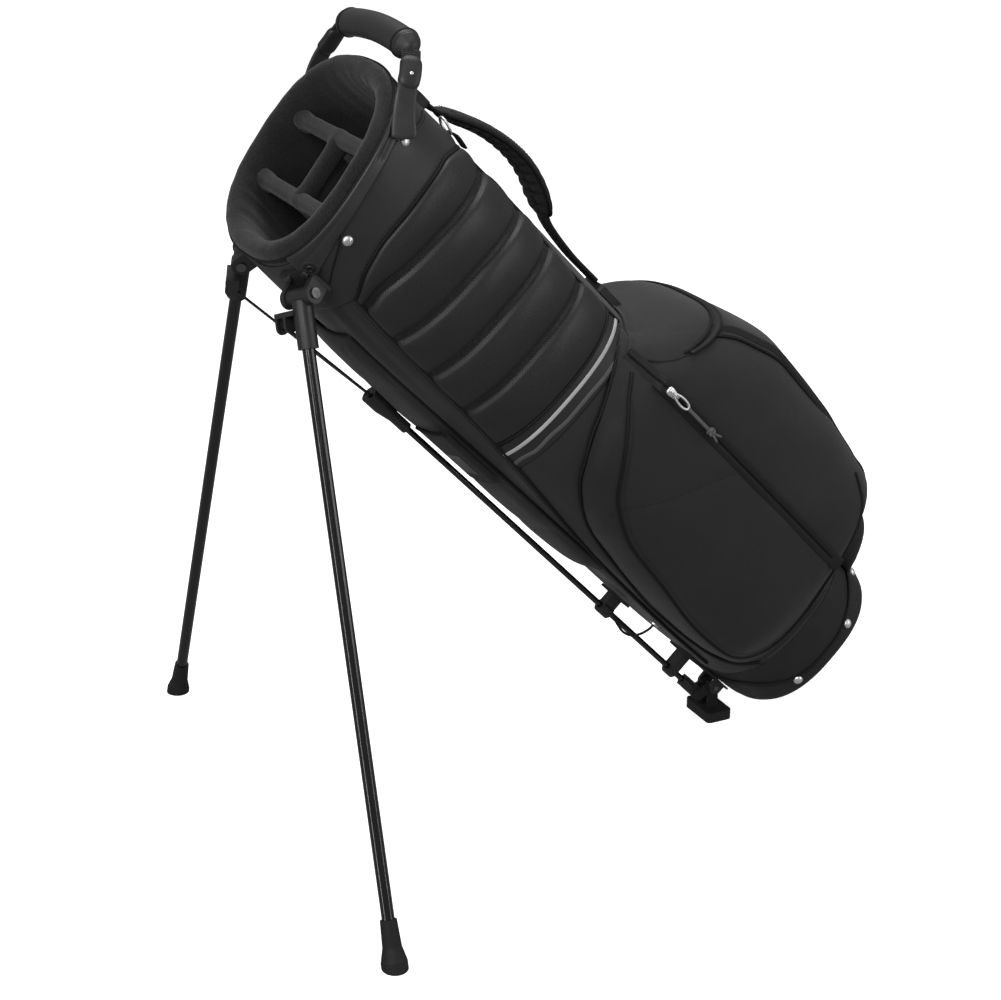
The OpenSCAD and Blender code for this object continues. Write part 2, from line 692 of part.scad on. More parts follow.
module foot_bracket() {
    color([0.12, 0.12, 0.12]) stand() difference() {
        union() {
            translate([-104.2, -18, 26]) cube([2.4, 36, 38]);
            for (y = [-14, 9.5]) {
                translate([foot_x, y, foot_z]) rotate([-90, 0, 0]) cylinder(r = 8, h = 4.5);
                translate([foot_x, y, foot_z - 8]) cube([8, 4.5, 16]);
            }
        }
        translate([foot_x, 0, foot_z]) rotate([90, 0, 0]) cylinder(r = 3, h = 60, center = true);
    }
}

module foot_pin() {
    color([0.6, 0.6, 0.6]) stand() translate([foot_x, 0, foot_z]) rotate([90, 0, 0])
        cylinder(r = 3, h = 30, center = true);
}

// Foot block: two cranks on the foot pin, the pin they move the rod with, and a flat sole
module foot_block() {
    sole_u = 12;
    boss_r = 5.6;
    crank = [-foot_arm_r * cos(foot_arm_angle - lean), foot_arm_r * sin(foot_arm_angle - lean)];
    color([0.08, 0.08, 0.08]) stand() translate([foot_x, 0, foot_z]) rotate([0, lean, 0])
        difference() {
            union() {
                for (y = [-4.2, 9]) translate([0, y, 0]) rotate([90, 0, 0]) linear_extrude(4.8) {
                    hull() {
                        circle(boss_r, $fn = 32);
                        translate(crank) circle(boss_r, $fn = 32);
                    }
                    hull() {
                        circle(boss_r, $fn = 32);
                        translate([-7, -foot_h + 6]) square([14, 2]);
                    }
                }
                translate([-0.5, 0, -foot_h]) linear_extrude(sole_u)
                    offset(5, $fn = 24) square([22, 42], center = true);
                translate([crank[0], 0, crank[1]]) rotate([90, 0, 0])
                    cylinder(r = 2.5, h = 12, center = true);
            }
            rotate([90, 0, 0]) cylinder(r = 3.06, h = 60, center = true);
        }
}

// ---- Nodes --------------------------------------------------------------------------------

side_wall_left();
side_wall_right();
spine_wall();
underside_wall();
base_boot();
top_collar();
rim_padding();
divider_frame();
divider_cross_sheets();
divider_middle_sheet();
stays();
quilted_panel_left();
quilted_panel_right();
stripe_bright();
stripe_dark();
hip_pad();
valuables_sleeve();
sleeve_label();
side_pocket_left();
side_pocket_right();
ball_pocket();
top_pocket();
zip_left();
zip_right();
top_pocket_zip();
dome_rivets();
handle_arm_left();
handle_arm_right();
handle_core();
handle_grip();
leg_bracket_left();
leg_bracket_right();
leg_pins();
bracket_screws();
leg_socket_left();
leg_tube_left();
leg_foot_left();
leg_socket_right();
leg_tube_right();
leg_foot_right();
spring_wire_left();
spring_wire_right();
y_connector();
push_rod();
rod_end();
rod_guide();
keeper_clip();
keeper_cord();
keeper_eyelet();
foot_bracket();
foot_pin();
foot_block();
shoulder_strap();
strap_hardware();
zip_slider_left();
zip_pull_left();
pull_cord_left();
zip_slider_right();
zip_pull_right();
pull_cord_right();
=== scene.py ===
"""Looks of a golf stand bag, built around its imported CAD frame.

Pieces are drawn in the bag's own frame, in millimetres: x towards the strap side, y across, and
u along the bag from its base to its mouth. place() carries them into the row frame, in metres.
"""

import json
import math

import bpy
import numpy as np
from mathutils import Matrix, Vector


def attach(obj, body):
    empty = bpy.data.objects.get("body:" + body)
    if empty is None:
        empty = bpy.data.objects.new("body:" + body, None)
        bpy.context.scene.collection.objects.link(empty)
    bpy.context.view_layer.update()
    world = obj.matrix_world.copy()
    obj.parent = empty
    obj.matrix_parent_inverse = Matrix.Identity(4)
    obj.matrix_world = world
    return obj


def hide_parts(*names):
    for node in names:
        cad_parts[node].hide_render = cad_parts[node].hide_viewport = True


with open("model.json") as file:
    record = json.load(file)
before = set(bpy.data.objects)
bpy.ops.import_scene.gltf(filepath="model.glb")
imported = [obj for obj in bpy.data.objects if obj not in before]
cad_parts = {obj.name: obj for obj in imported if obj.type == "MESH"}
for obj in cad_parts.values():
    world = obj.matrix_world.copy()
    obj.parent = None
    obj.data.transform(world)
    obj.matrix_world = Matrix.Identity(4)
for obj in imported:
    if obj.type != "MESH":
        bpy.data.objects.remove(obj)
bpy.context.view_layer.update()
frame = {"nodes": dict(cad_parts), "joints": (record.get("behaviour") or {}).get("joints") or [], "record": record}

# ---- The bag's frame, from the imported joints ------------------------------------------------

MM = 0.001
FOOT_X, FOOT_U = -111, 37.1
joints = {j["name"]: j for j in frame["joints"]}
ALONG = -np.array(joints["rod_slide"]["axis"], float)
ALONG /= np.linalg.norm(ALONG)
ACROSS = np.array([0.0, 1.0, 0.0])
OUT = np.cross(ACROSS, ALONG)
BASE = np.array(joints["foot_turn"]["pos_m"], float) - (OUT * FOOT_X + ALONG * FOOT_U) * MM
AXES = np.array([OUT, ACROSS, ALONG])
SIDES = {"left": 1, "right": -1}

BAG_L = 850
MOUTH_TILT = 0.16
BODY_N = 2.5
POCKET_N = 3.2
HALF_X = [[0, 97], [60, 101], [300, 107], [700, 110], [790, 108], [850, 107]]
HALF_Y = [[0, 97], [60, 101], [300, 107], [700, 111], [790, 115], [850, 118]]
SIDE_OUT = 134
POCKET_X = [[92, 150], [140, 188], [230, 202], [340, 205], [400, 186], [440, 155], [470, 122], [500, 114]]
POCKET_Y = [[92, 112], [130, SIDE_OUT], [445, SIDE_OUT], [500, 116]]
ZIP_X = 72
SLIDER_U = 438
PULL_Y = SIDE_OUT + 7.2


def place(points):
    """Points of the bag's frame, in millimetres, as points of the row frame, in metres."""
    return BASE + np.asarray(points, float) @ AXES * MM


def unplace(points):
    return (np.asarray(points, float) - BASE) @ AXES.T / MM


def lookup(x, table):
    return np.interp(x, [row[0] for row in table], [row[1] for row in table])


def eased(x, table, spread=16):
    """lookup() with its corners rounded over a spread of x."""
    shifts = np.linspace(-spread, spread, 9)
    weights = np.cos(shifts / spread * math.pi / 2.2)
    return sum(w * lookup(np.asarray(x) + s, table) for w, s in zip(weights, shifts)) / weights.sum()


def soft_pow(x, n):
    return np.sign(x) * np.abs(x) ** (2 / n)


def oval(a, half_x, half_y, n):
    a = np.radians(a)
    return half_x * soft_pow(np.cos(a), n), half_y * soft_pow(np.sin(a), n)


def at_wall(a, u, d=0.0, tilt=0.0):
    """Point d outside the bag's wall, at an angle from the strap side and a height."""
    a, u, d = np.broadcast_arrays(np.asarray(a, float), np.asarray(u, float), np.asarray(d, float))
    x, y = oval(a, eased(u, HALF_X) + d, eased(u, HALF_Y) + d, BODY_N)
    return np.stack([x, y, u + tilt * x], -1)


def from_strap_side(a):
    """An angle's distance from the strap side, from 0 to 180 degrees."""
    return np.abs((np.asarray(a, float) + 180) % 360 - 180)


def wall_angle(x, u):
    """Angle at which the wall passes a given x."""
    share = np.clip(np.asarray(x, float) / eased(u, HALF_X), -1, 1)
    return np.degrees(np.arccos(np.sign(share) * np.abs(share) ** (BODY_N / 2)))


def rise(t):
    return np.sqrt(1 - (1 - np.clip(t, 0, 1)) ** 2)


def both_ends(share, width):
    """rise() from both ends of a share that runs from 0 to 1."""
    return rise(share / width) * rise((1 - share) / width)


def bell(x, middle, width):
    return np.exp(-(((x - middle) / width) ** 2))


# ---- Mesh building --------------------------------------------------------------------------

TINY = 1e-9
SIM_FRAMES = 16


def unit(vectors):
    return vectors / np.maximum(np.linalg.norm(vectors, axis=-1, keepdims=True), TINY)


def travelled(path):
    """Distance along a path up to each of its points."""
    return np.concatenate([[0], np.cumsum(np.linalg.norm(np.diff(path, axis=0), axis=1))])


def full_turn(count):
    return np.linspace(0, 2 * math.pi, count, endpoint=False)


def grid_faces(rows, cols, wrap_rows=False, wrap_cols=False):
    i, j = np.meshgrid(np.arange(rows - (not wrap_rows)), np.arange(cols - (not wrap_cols)), indexing="ij")
    i2, j2 = (i + 1) % rows, (j + 1) % cols
    return np.stack([i * cols + j, i * cols + j2, i2 * cols + j2, i2 * cols + j], -1).reshape(-1, 4)


def ring_faces(rows, sides, closed=False):
    """Faces of rows of rings, with a cap at each end unless they close on themselves."""
    faces = [list(f) for f in grid_faces(rows, sides, wrap_rows=closed, wrap_cols=True)]
    caps = [list(range(sides))[::-1], list(range((rows - 1) * sides, rows * sides))]
    return faces if closed else faces + caps


def grid_normals(grid, wrap=False):
    padded = np.concatenate([grid[:, -1:], grid, grid[:, :1]], 1) if wrap else grid
    along_cols = np.gradient(padded, axis=1)
    along_rows = np.gradient(padded, axis=0)
    normals = unit(np.cross(along_cols, along_rows))
    return normals[:, 1:-1] if wrap else normals


def surface_lengths(grid):
    """Distances in millimetres along a grid's columns and rows, for weaves that follow the cloth."""
    steps = np.linalg.norm(np.diff(grid, axis=1), axis=-1)
    s = np.concatenate([np.zeros((len(grid), 1)), np.cumsum(steps, 1)], 1)
    s -= s[:, s.shape[1] // 2][:, None]
    steps = np.linalg.norm(np.diff(grid, axis=0), axis=-1)
    t = np.concatenate([np.zeros((1, grid.shape[1])), np.cumsum(steps, 0)], 0)
    return np.stack([s, t, np.zeros_like(s)], -1)


def make_piece(name, points, faces, look=None, body="bag", st=None, smooth=True, fields=None):
    """A mesh piece from points of the bag's frame, riding on a CAD body; look names its material."""
    mesh = bpy.data.meshes.new(name)
    mesh.from_pydata(place(points).tolist(), [], [list(map(int, f)) for f in faces])
    mesh.validate()
    if st is not None and len(st) == len(mesh.vertices):
        layer = mesh.attributes.new("st", "FLOAT_VECTOR", "POINT")
        layer.data.foreach_set("vector", np.asarray(st, np.float32).ravel())
    for key, values in (fields or {}).items():
        layer = mesh.attributes.new(key, "FLOAT", "POINT")
        layer.data.foreach_set("value", np.asarray(values, np.float32).ravel())
    mesh.polygons.foreach_set("use_smooth", [smooth] * len(mesh.polygons))
    mesh.update()
    obj = bpy.data.objects.new(name, mesh)
    bpy.context.scene.collection.objects.link(obj)
    if look:
        obj.data.materials.append(MATERIALS[look])
    if body:
        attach(obj, body)
    return obj


def make_slab(name, grid, thick, look, wrap=False, fields=None, **more):
    """A closed sheet: a grid of outer points, and the same grid moved inwards by its thickness."""
    rows, cols = grid.shape[:2]
    size = rows * cols
    inner = grid - grid_normals(grid, wrap) * thick
    over = grid_faces(rows, cols, wrap_cols=wrap)
    under = over[:, ::-1] + size
    j = np.arange(cols if wrap else cols - 1)
    j2 = (j + 1) % cols
    last = (rows - 1) * cols
    ends = [np.stack([j2, j, j + size, j2 + size], -1),
            np.stack([last + j, last + j2, last + j2 + size, last + j + size], -1)]
    if not wrap:
        i = np.arange(rows - 1) * cols
        ends += [np.stack([i, i + cols, i + cols + size, i + size], -1),
                 np.stack([i + 2 * cols - 1, i + cols - 1, i + cols - 1 + size, i + 2 * cols - 1 + size],
                          -1)]
    st = surface_lengths(grid).reshape(-1, 3)
    doubled = {k: np.concatenate([np.ravel(v)] * 2) for k, v in (fields or {}).items()}
    return make_piece(name, np.concatenate([grid.reshape(-1, 3), inner.reshape(-1, 3)]),
                      np.concatenate([over, under, *ends]), look,
                      st=np.concatenate([st, st]), fields=doubled, **more)


def even_points(points, count=None, step=None):
    """A polyline's points again, evenly spaced along a smooth curve through them."""
    points = np.asarray(points, float)
    if len(points) > 2:
        points = catmull(points)
    lengths = travelled(points)
    count = count or max(2, int(round(lengths[-1] / step)) + 1)
    at = np.linspace(0, lengths[-1], count)
    return np.stack([np.interp(at, lengths, points[:, k]) for k in range(points.shape[1])], -1)


def catmull(points, pieces=12):
    p = np.concatenate([[2 * points[0] - points[1]], points, [2 * points[-1] - points[-2]]])
    t = (np.arange(pieces) / pieces)[:, None]
    parts = []
    for a, b, c, d in zip(p, p[1:], p[2:], p[3:]):
        parts.append(0.5 * (2 * b + (c - a) * t + (2 * a - 5 * b + 4 * c - d) * t**2
                            + (3 * b - a - 3 * c + d) * t**3))
    return np.concatenate([*parts, points[-1:]])


def path_frames(path, ref=None):
    """Unit tangents and two unit normals along a path, with as little twist as there can be."""
    tangents = unit(np.gradient(path, axis=0))
    if ref is not None:
        side = unit(np.cross(np.broadcast_to(ref, tangents.shape), tangents))
        return tangents, side, np.cross(tangents, side)
    start = np.cross(tangents[0], [0.31, 0.17, 0.93])
    sides = [start / np.linalg.norm(start)]
    for t in tangents[1:]:
        s = sides[-1] - t * (sides[-1] @ t)
        sides.append(s / max(np.linalg.norm(s), TINY))
    sides = np.array(sides)
    return tangents, sides, np.cross(tangents, sides)


def make_tube(name, path, rx, look, ry=None, sides=10, ref=None, closed=False, square=2.0, **more):
    """A tube with round ends along a path; rx and ry may change along it, and square widens its section."""
    path = np.asarray(path, float)
    rx = np.broadcast_to(rx, len(path)).astype(float)
    ry = rx if ry is None else np.broadcast_to(ry, len(path)).astype(float)
    if not closed:
        tangents, side, up = path_frames(path, ref)
        tip = np.minimum(rx, ry)
        first = [path[0] - tangents[0] * tip[0] * k for k in (0.95, 0.6)]
        final = [path[-1] + tangents[-1] * tip[-1] * k for k in (0.6, 0.95)]
        scale = [0.31, 0.8]
        path = np.concatenate([first, path, final])
        side = np.concatenate([[side[0]] * 2, side, [side[-1]] * 2])
        up = np.concatenate([[up[0]] * 2, up, [up[-1]] * 2])
        rx = np.concatenate([rx[0] * np.array(scale), rx, rx[-1] * np.array(scale[::-1])])
        ry = np.concatenate([ry[0] * np.array(scale), ry, ry[-1] * np.array(scale[::-1])])
    else:
        looped = np.concatenate([path[-1:], path, path[:1]])
        _, side, up = (v[1:-1] for v in path_frames(looped, ref))
    angle = full_turn(sides)
    cs, sn = soft_pow(np.cos(angle), square), soft_pow(np.sin(angle), square)
    points = (path[:, None] + side[:, None] * (rx[:, None] * cs)[..., None]
              + up[:, None] * (ry[:, None] * sn)[..., None])
    rows = len(path)
    faces = ring_faces(rows, sides, closed)
    along = travelled(path)
    around = angle * np.mean((rx + ry) / 2)
    st = np.stack(np.broadcast_arrays(around[None], along[:, None], 0.0), -1).reshape(-1, 3)
    return make_piece(name, points.reshape(-1, 3), faces, look, st=st, **more)


def make_lathe(name, profile, centre, axis, look, sides=32):
    """A turned solid: (radius, height) pairs about an axis, closed at both ends."""
    axis = np.asarray(axis, float) / np.linalg.norm(axis)
    helper = np.array([0.0, 1.0, 0.0]) if abs(axis[1]) < 0.9 else np.array([1.0, 0.0, 0.0])
    side = np.cross(axis, helper)
    side /= np.linalg.norm(side)
    up = np.cross(axis, side)
    angle = full_turn(sides)
    ring = side * np.cos(angle)[:, None] + up * np.sin(angle)[:, None]
    points = [np.asarray(centre) + ring * r + axis * h for r, h in profile]
    rows = len(profile)
    faces = ring_faces(rows, sides)
    return make_piece(name, np.concatenate(points), faces, look)


def make_stitches(name, path, pitch=4.0, share=0.66, radius=0.45):
    """A row of thread stitches along a path that lies on the cloth."""
    path = even_points(path, step=0.8)
    lengths = travelled(path)
    count = int(lengths[-1] / pitch)
    at = (np.arange(count) + 0.2) * pitch
    ends = [np.stack([np.interp(at + k * pitch * share, lengths, path[:, c]) for c in range(3)], -1)
            for k in (0, 1)]
    direction = unit(ends[1] - ends[0])
    side = unit(np.cross(direction, [0.23, 0.11, 0.97]))
    up = np.cross(direction, side)
    sides, rings = 6, [(0.0, 0.35), (0.2, 1.0), (0.8, 1.0), (1.0, 0.35)]
    angle = full_turn(sides)
    blocks = []
    for share_along, scale in rings:
        centre = ends[0] + (ends[1] - ends[0]) * share_along
        blocks.append(centre[:, None] + radius * scale * (side[:, None] * np.cos(angle)[None, :, None]
                                                          + up[:, None] * np.sin(angle)[None, :, None]))
    points = np.stack(blocks, 1).reshape(-1, 3)
    one = ring_faces(len(rings), sides)
    size = len(rings) * sides
    faces = [[v + k * size for v in f] for k in range(count) for f in one]
    return make_piece(name, points, faces, "thread")


def settle(name, grid, pins, pressure=4.0, cap=5.0, wrap=False, stiffness=8.0):
    """The grid after a short cloth simulation that blows it up between its pinned seams."""
    rows, cols = grid.shape[:2]
    cloth_piece = make_piece(name, grid.reshape(-1, 3), grid_faces(rows, cols, wrap_cols=wrap),
                             body=None)
    group = cloth_piece.vertex_groups.new(name="pins")
    pins = np.ravel(pins)
    for weight in np.unique(pins[pins > 0]):
        group.add([int(i) for i in np.nonzero(pins == weight)[0]], float(weight), "REPLACE")
    cloth = cloth_piece.modifiers.new("cloth", "CLOTH")
    cloth.settings.quality = 6
    cloth.settings.mass = 0.25
    cloth.settings.tension_stiffness = stiffness
    cloth.settings.compression_stiffness = stiffness
    cloth.settings.shear_stiffness = stiffness / 2
    cloth.settings.bending_stiffness = 0.6
    cloth.settings.vertex_group_mass = "pins"
    cloth.settings.use_pressure = True
    cloth.settings.uniform_pressure_force = pressure
    cloth.settings.effector_weights.gravity = 0
    cloth.collision_settings.use_collision = False
    cloth.point_cache.frame_start, cloth.point_cache.frame_end = 1, SIM_FRAMES
    scene = bpy.context.scene
    for step in range(1, SIM_FRAMES + 1):
        scene.frame_set(step)
    shown = cloth_piece.evaluated_get(bpy.context.evaluated_depsgraph_get())
    moved = np.zeros(rows * cols * 3)
    shown.data.vertices.foreach_get("co", moved)
    scene.frame_set(1)
    moved = unplace(moved.reshape(-1, 3)).reshape(grid.shape) - grid
    far = np.linalg.norm(moved, axis=-1, keepdims=True)
    bpy.data.objects.remove(cloth_piece)
    return grid + moved * np.minimum(1, cap / np.maximum(far, TINY))


# ---- Materials ------------------------------------------------------------------------------


class Shader:
    """A node material that starts from one Principled shader; its helpers add the nodes."""

    def __init__(self, name, color, roughness, metallic=0.0, **settings):
        self.material = bpy.data.materials.new(name)
        self.material.use_nodes = True
        self.tree = self.material.node_tree
        self.bsdf = self.tree.nodes["Principled BSDF"]
        self.color = color
        self.roughness = roughness
        self.bsdf.inputs["Metallic"].default_value = metallic
        for key, value in settings.items():
            self.bsdf.inputs[key.replace("_", " ")].default_value = value
        self.height = None

    def add(self, kind, **inputs):
        node = self.tree.nodes.new(kind)
        for key, value in inputs.items():
            socket = node.inputs[int(key[1:])] if key[0] == "i" and key[1:].isdigit() else node.inputs[key]
            if isinstance(value, bpy.types.NodeSocket):
                self.tree.links.new(value, socket)
            else:
                socket.default_value = value
        return node

    def math(self, operation, a, b=0.0, clamp=False):
        node = self.add("ShaderNodeMath", i0=a, i1=b)
        node.operation = operation
        node.use_clamp = clamp
        return node.outputs[0]

    def spread(self, value, low, high, out_low=0.0, out_high=1.0):
        node = self.add("ShaderNodeMapRange", Value=value)
        for key, number in (("From Min", low), ("From Max", high), ("To Min", out_low),
                            ("To Max", out_high)):
            node.inputs[key].default_value = number
        return node.outputs["Result"]

    def cloth_place(self):
        """Distances along the cloth, in millimetres."""
        node = self.add("ShaderNodeAttribute")
        node.attribute_name = "st"
        parts = self.add("ShaderNodeSeparateXYZ", Vector=node.outputs["Vector"])
        return node.outputs["Vector"], parts.outputs["X"], parts.outputs["Y"]

    def field(self, name):
        node = self.add("ShaderNodeAttribute")
        node.attribute_name = name
        return node.outputs["Fac"]

    def object_place(self):
        return self.add("ShaderNodeTexCoord").outputs["Object"]

    def noise(self, place_socket, scale, detail=4.0, roughness=0.55):
        node = self.add("ShaderNodeTexNoise", Vector=place_socket, Scale=scale, Detail=detail)
        node.inputs["Roughness"].default_value = roughness
        return node.outputs["Fac"]

    def cells(self, place_socket, scale, feature="F1"):
        node = self.add("ShaderNodeTexVoronoi", Vector=place_socket, Scale=scale)
        node.feature = feature
        return node.outputs["Distance"]

    def wave(self, value, pitch):
        """A sine along a distance, from -1 to 1."""
        return self.math("SINE", self.math("MULTIPLY", value, 2 * math.pi / pitch))

    def raise_by(self, value, amount):
        """Adds a layer, in millimetres, to the surface's height."""
        part = self.math("MULTIPLY", value, amount)
        self.height = part if self.height is None else self.math("ADD", self.height, part)

    def tint(self, factor, color):
        """Where factor is 1 the colour so far becomes this one."""
        node = self.add("ShaderNodeMix")
        node.data_type = "RGBA"
        self.tree.links.new(factor, node.inputs["Factor"])
        for key, value in (("A", self.color), ("B", color)):
            socket = [s for s in node.inputs if s.name == key and s.type == "RGBA"][0]
            if isinstance(value, bpy.types.NodeSocket):
                self.tree.links.new(value, socket)
            else:
                socket.default_value = (*value[:3], 1)
        self.color = [s for s in node.outputs if s.type == "RGBA"][0]

    def done(self):
        for value, key in ((self.color, "Base Color"), (self.roughness, "Roughness")):
            socket = self.bsdf.inputs[key]
            if isinstance(value, bpy.types.NodeSocket):
                self.tree.links.new(value, socket)
            else:
                socket.default_value = (*value[:3], 1) if key == "Base Color" else value
        if self.height is not None:
            bump = self.add("ShaderNodeBump", Height=self.height, Strength=1.0, Distance=MM)
            self.tree.links.new(bump.outputs["Normal"], self.bsdf.inputs["Normal"])
        return self.material


def shade(color, factor):
    return tuple(c * factor for c in color[:3])


def fabric(name, color, roughness=0.62, pitch=1.3, depth=0.05, sheen=0.12, mottle=0.35):
    """Coated woven cloth: a plain weave along the cloth, with soft variation in colour and gloss."""
    s = Shader(name, color, roughness, Specular_IOR_Level=0.28, Sheen_Weight=sheen, Sheen_Roughness=0.45)
    _, across, along = s.cloth_place()
    where = s.object_place()
    s.tint(s.spread(s.noise(where, 9, 3), 0.3, 0.75), shade(color, 1 + mottle))
    s.tint(s.spread(s.noise(where, 420, 2), 0.45, 0.8, 0, 0.5), shade(color, 1 + mottle * 1.6))
    weave = s.math("MULTIPLY", s.wave(across, pitch), s.wave(along, pitch))
    s.raise_by(weave, depth)
    s.raise_by(s.noise(where, 700, 2), depth * 1.2)
    s.raise_by(s.noise(where, 26, 3), 0.55)
    s.roughness = s.spread(s.noise(where, 14, 3), 0.3, 0.7, roughness - 0.06, roughness + 0.08)
    return s.done()


def leatherette(name, color, roughness=0.5, dots=True):
    """Smooth coated leather cloth with pores; dots adds the fine perforation of the quilting, with painted shade
    in its holes.
    """
    s = Shader(name, color, roughness, Specular_IOR_Level=0.38, Coat_Weight=0.12, Coat_Roughness=0.36)
    place_st, across, along = s.cloth_place()
    where = s.object_place()
    s.tint(s.spread(s.noise(where, 11, 3), 0.3, 0.75), shade(color, 1.35))
    s.raise_by(s.cells(place_st, 0.9), 0.07)
    s.raise_by(s.noise(where, 320, 3), 0.06)
    s.raise_by(s.noise(where, 30, 3), 0.4)
    if dots:
        dot = s.math("MULTIPLY", s.wave(across, 3.0), s.wave(along, 3.0))
        hole = s.spread(dot, 0.62, 0.9)
        s.raise_by(hole, -0.22)
        # Painted shade: the perforation holes, sunk by the bump above, are darkened as if shadowed.
        s.tint(s.math("MULTIPLY", hole, 0.7), shade(color, 0.35))
        band = s.field("band")
        diagonal = s.math("MULTIPLY", s.wave(s.math("ADD", across, along), 3.4),
                          s.wave(s.math("SUBTRACT", across, along), 3.4))
        pit = s.math("MULTIPLY", s.spread(diagonal, -0.1, 0.35), band)
        s.raise_by(pit, -0.7)
        # Painted shade in the stitch pits along the band, sunk by the bump above; then the whole band is darkened
        # a little.
        s.tint(s.math("MULTIPLY", pit, 0.9), shade(color, 0.12))
        s.tint(s.math("MULTIPLY", band, 0.4), shade(color, 0.55))
    s.roughness = s.spread(s.noise(where, 18, 3), 0.3, 0.7, roughness - 0.07, roughness + 0.09)
    return s.done()


def knit(name, color):
    """Padded spacer mesh: a honeycomb knit with a soft nap, and painted shade in the sunken borders of its cells.
    """
    s = Shader(name, color, 0.85, Specular_IOR_Level=0.2, Sheen_Weight=0.16, Sheen_Roughness=0.5)
    place_st, _, _ = s.cloth_place()
    where = s.object_place()
    cells = s.cells(place_st, 0.62)
    s.raise_by(cells, -0.35)
    # Painted shade: the cell borders, sunk by the bump above, are darkened.
    s.tint(s.spread(cells, 0.35, 0.75), shade(color, 0.45))
    s.tint(s.spread(s.noise(where, 15, 3), 0.35, 0.75, 0, 0.6), shade(color, 1.6))
    s.raise_by(s.noise(where, 60, 3), 0.35)
    return s.done()


def plastic(name, color, roughness=0.42, grain=0.05, wear=0.5, specular=0.4):
    """Moulded part: a fine spark-eroded grain, faint flow marks and lighter rubbed patches at random."""
    s = Shader(name, color, roughness, Specular_IOR_Level=specular)
    where = s.object_place()
    s.raise_by(s.noise(where, 900, 2), grain)
    s.raise_by(s.noise(where, 90, 3), grain * 2)
    s.tint(s.spread(s.noise(where, 40, 4), 0.4, 0.8, 0, wear), shade(color, 1.7))
    s.roughness = s.spread(s.noise(where, 55, 4), 0.3, 0.75, roughness - 0.08, roughness + 0.12)
    return s.done()


def metal(name, color, roughness, metallic=1.0, coat=0.0, scratch=0.04, specular=0.5):
    s = Shader(name, color, roughness, metallic, Coat_Weight=coat, Coat_Roughness=0.08,
               Specular_IOR_Level=specular)
    where = s.object_place()
    s.raise_by(s.noise(where, 500, 3), scratch)
    s.tint(s.spread(s.noise(where, 60, 4), 0.4, 0.8, 0, 0.6), shade(color, 0.75))
    s.roughness = s.spread(s.noise(where, 120, 4), 0.35, 0.75, roughness * 0.8, roughness * 1.4)
    return s.done()


def ribbed(name, color, pitch, depth, roughness=0.7, cross=0.0, sheen=0.1):
    """Woven tape: ribs across it, and a finer twill between them where cross is given, its raised lines lightened
    as a painted highlight.
    """
    s = Shader(name, color, roughness, Specular_IOR_Level=0.25, Sheen_Weight=sheen, Sheen_Roughness=0.5)
    _, across, along = s.cloth_place()
    where = s.object_place()
    s.raise_by(s.wave(along, pitch), depth)
    if cross:
        twill = s.wave(s.math("ADD", across, along), cross)
        s.raise_by(twill, depth * 0.7)
        # Painted highlight: the twill's raised lines are lighter.
        s.tint(s.spread(twill, -0.2, 0.9, 0, 0.5), shade(color, 1.5))
    s.tint(s.spread(s.noise(where, 30, 3), 0.35, 0.75, 0, 0.7), shade(color, 0.7))
    s.raise_by(s.noise(where, 500, 2), 0.05)
    return s.done()


def braid(name, color):
    """Braided cord: strands that cross each other on a slant, their crests lightened as a painted highlight."""
    s = Shader(name, color, 0.7, Specular_IOR_Level=0.25)
    _, across, along = s.cloth_place()
    one = s.wave(s.math("ADD", across, along), 1.6)
    other = s.wave(s.math("SUBTRACT", across, along), 1.6)
    strands = s.math("MULTIPLY", one, other)
    s.raise_by(strands, 0.16)
    # Painted highlight: the raised crests of the strands are lighter.
    s.tint(s.spread(strands, -0.1, 0.9, 0, 0.8), shade(color, 1.8))
    s.tint(s.spread(s.noise(s.object_place(), 200, 2), 0.4, 0.8, 0, 0.4), shade(color, 0.6))
    return s.done()


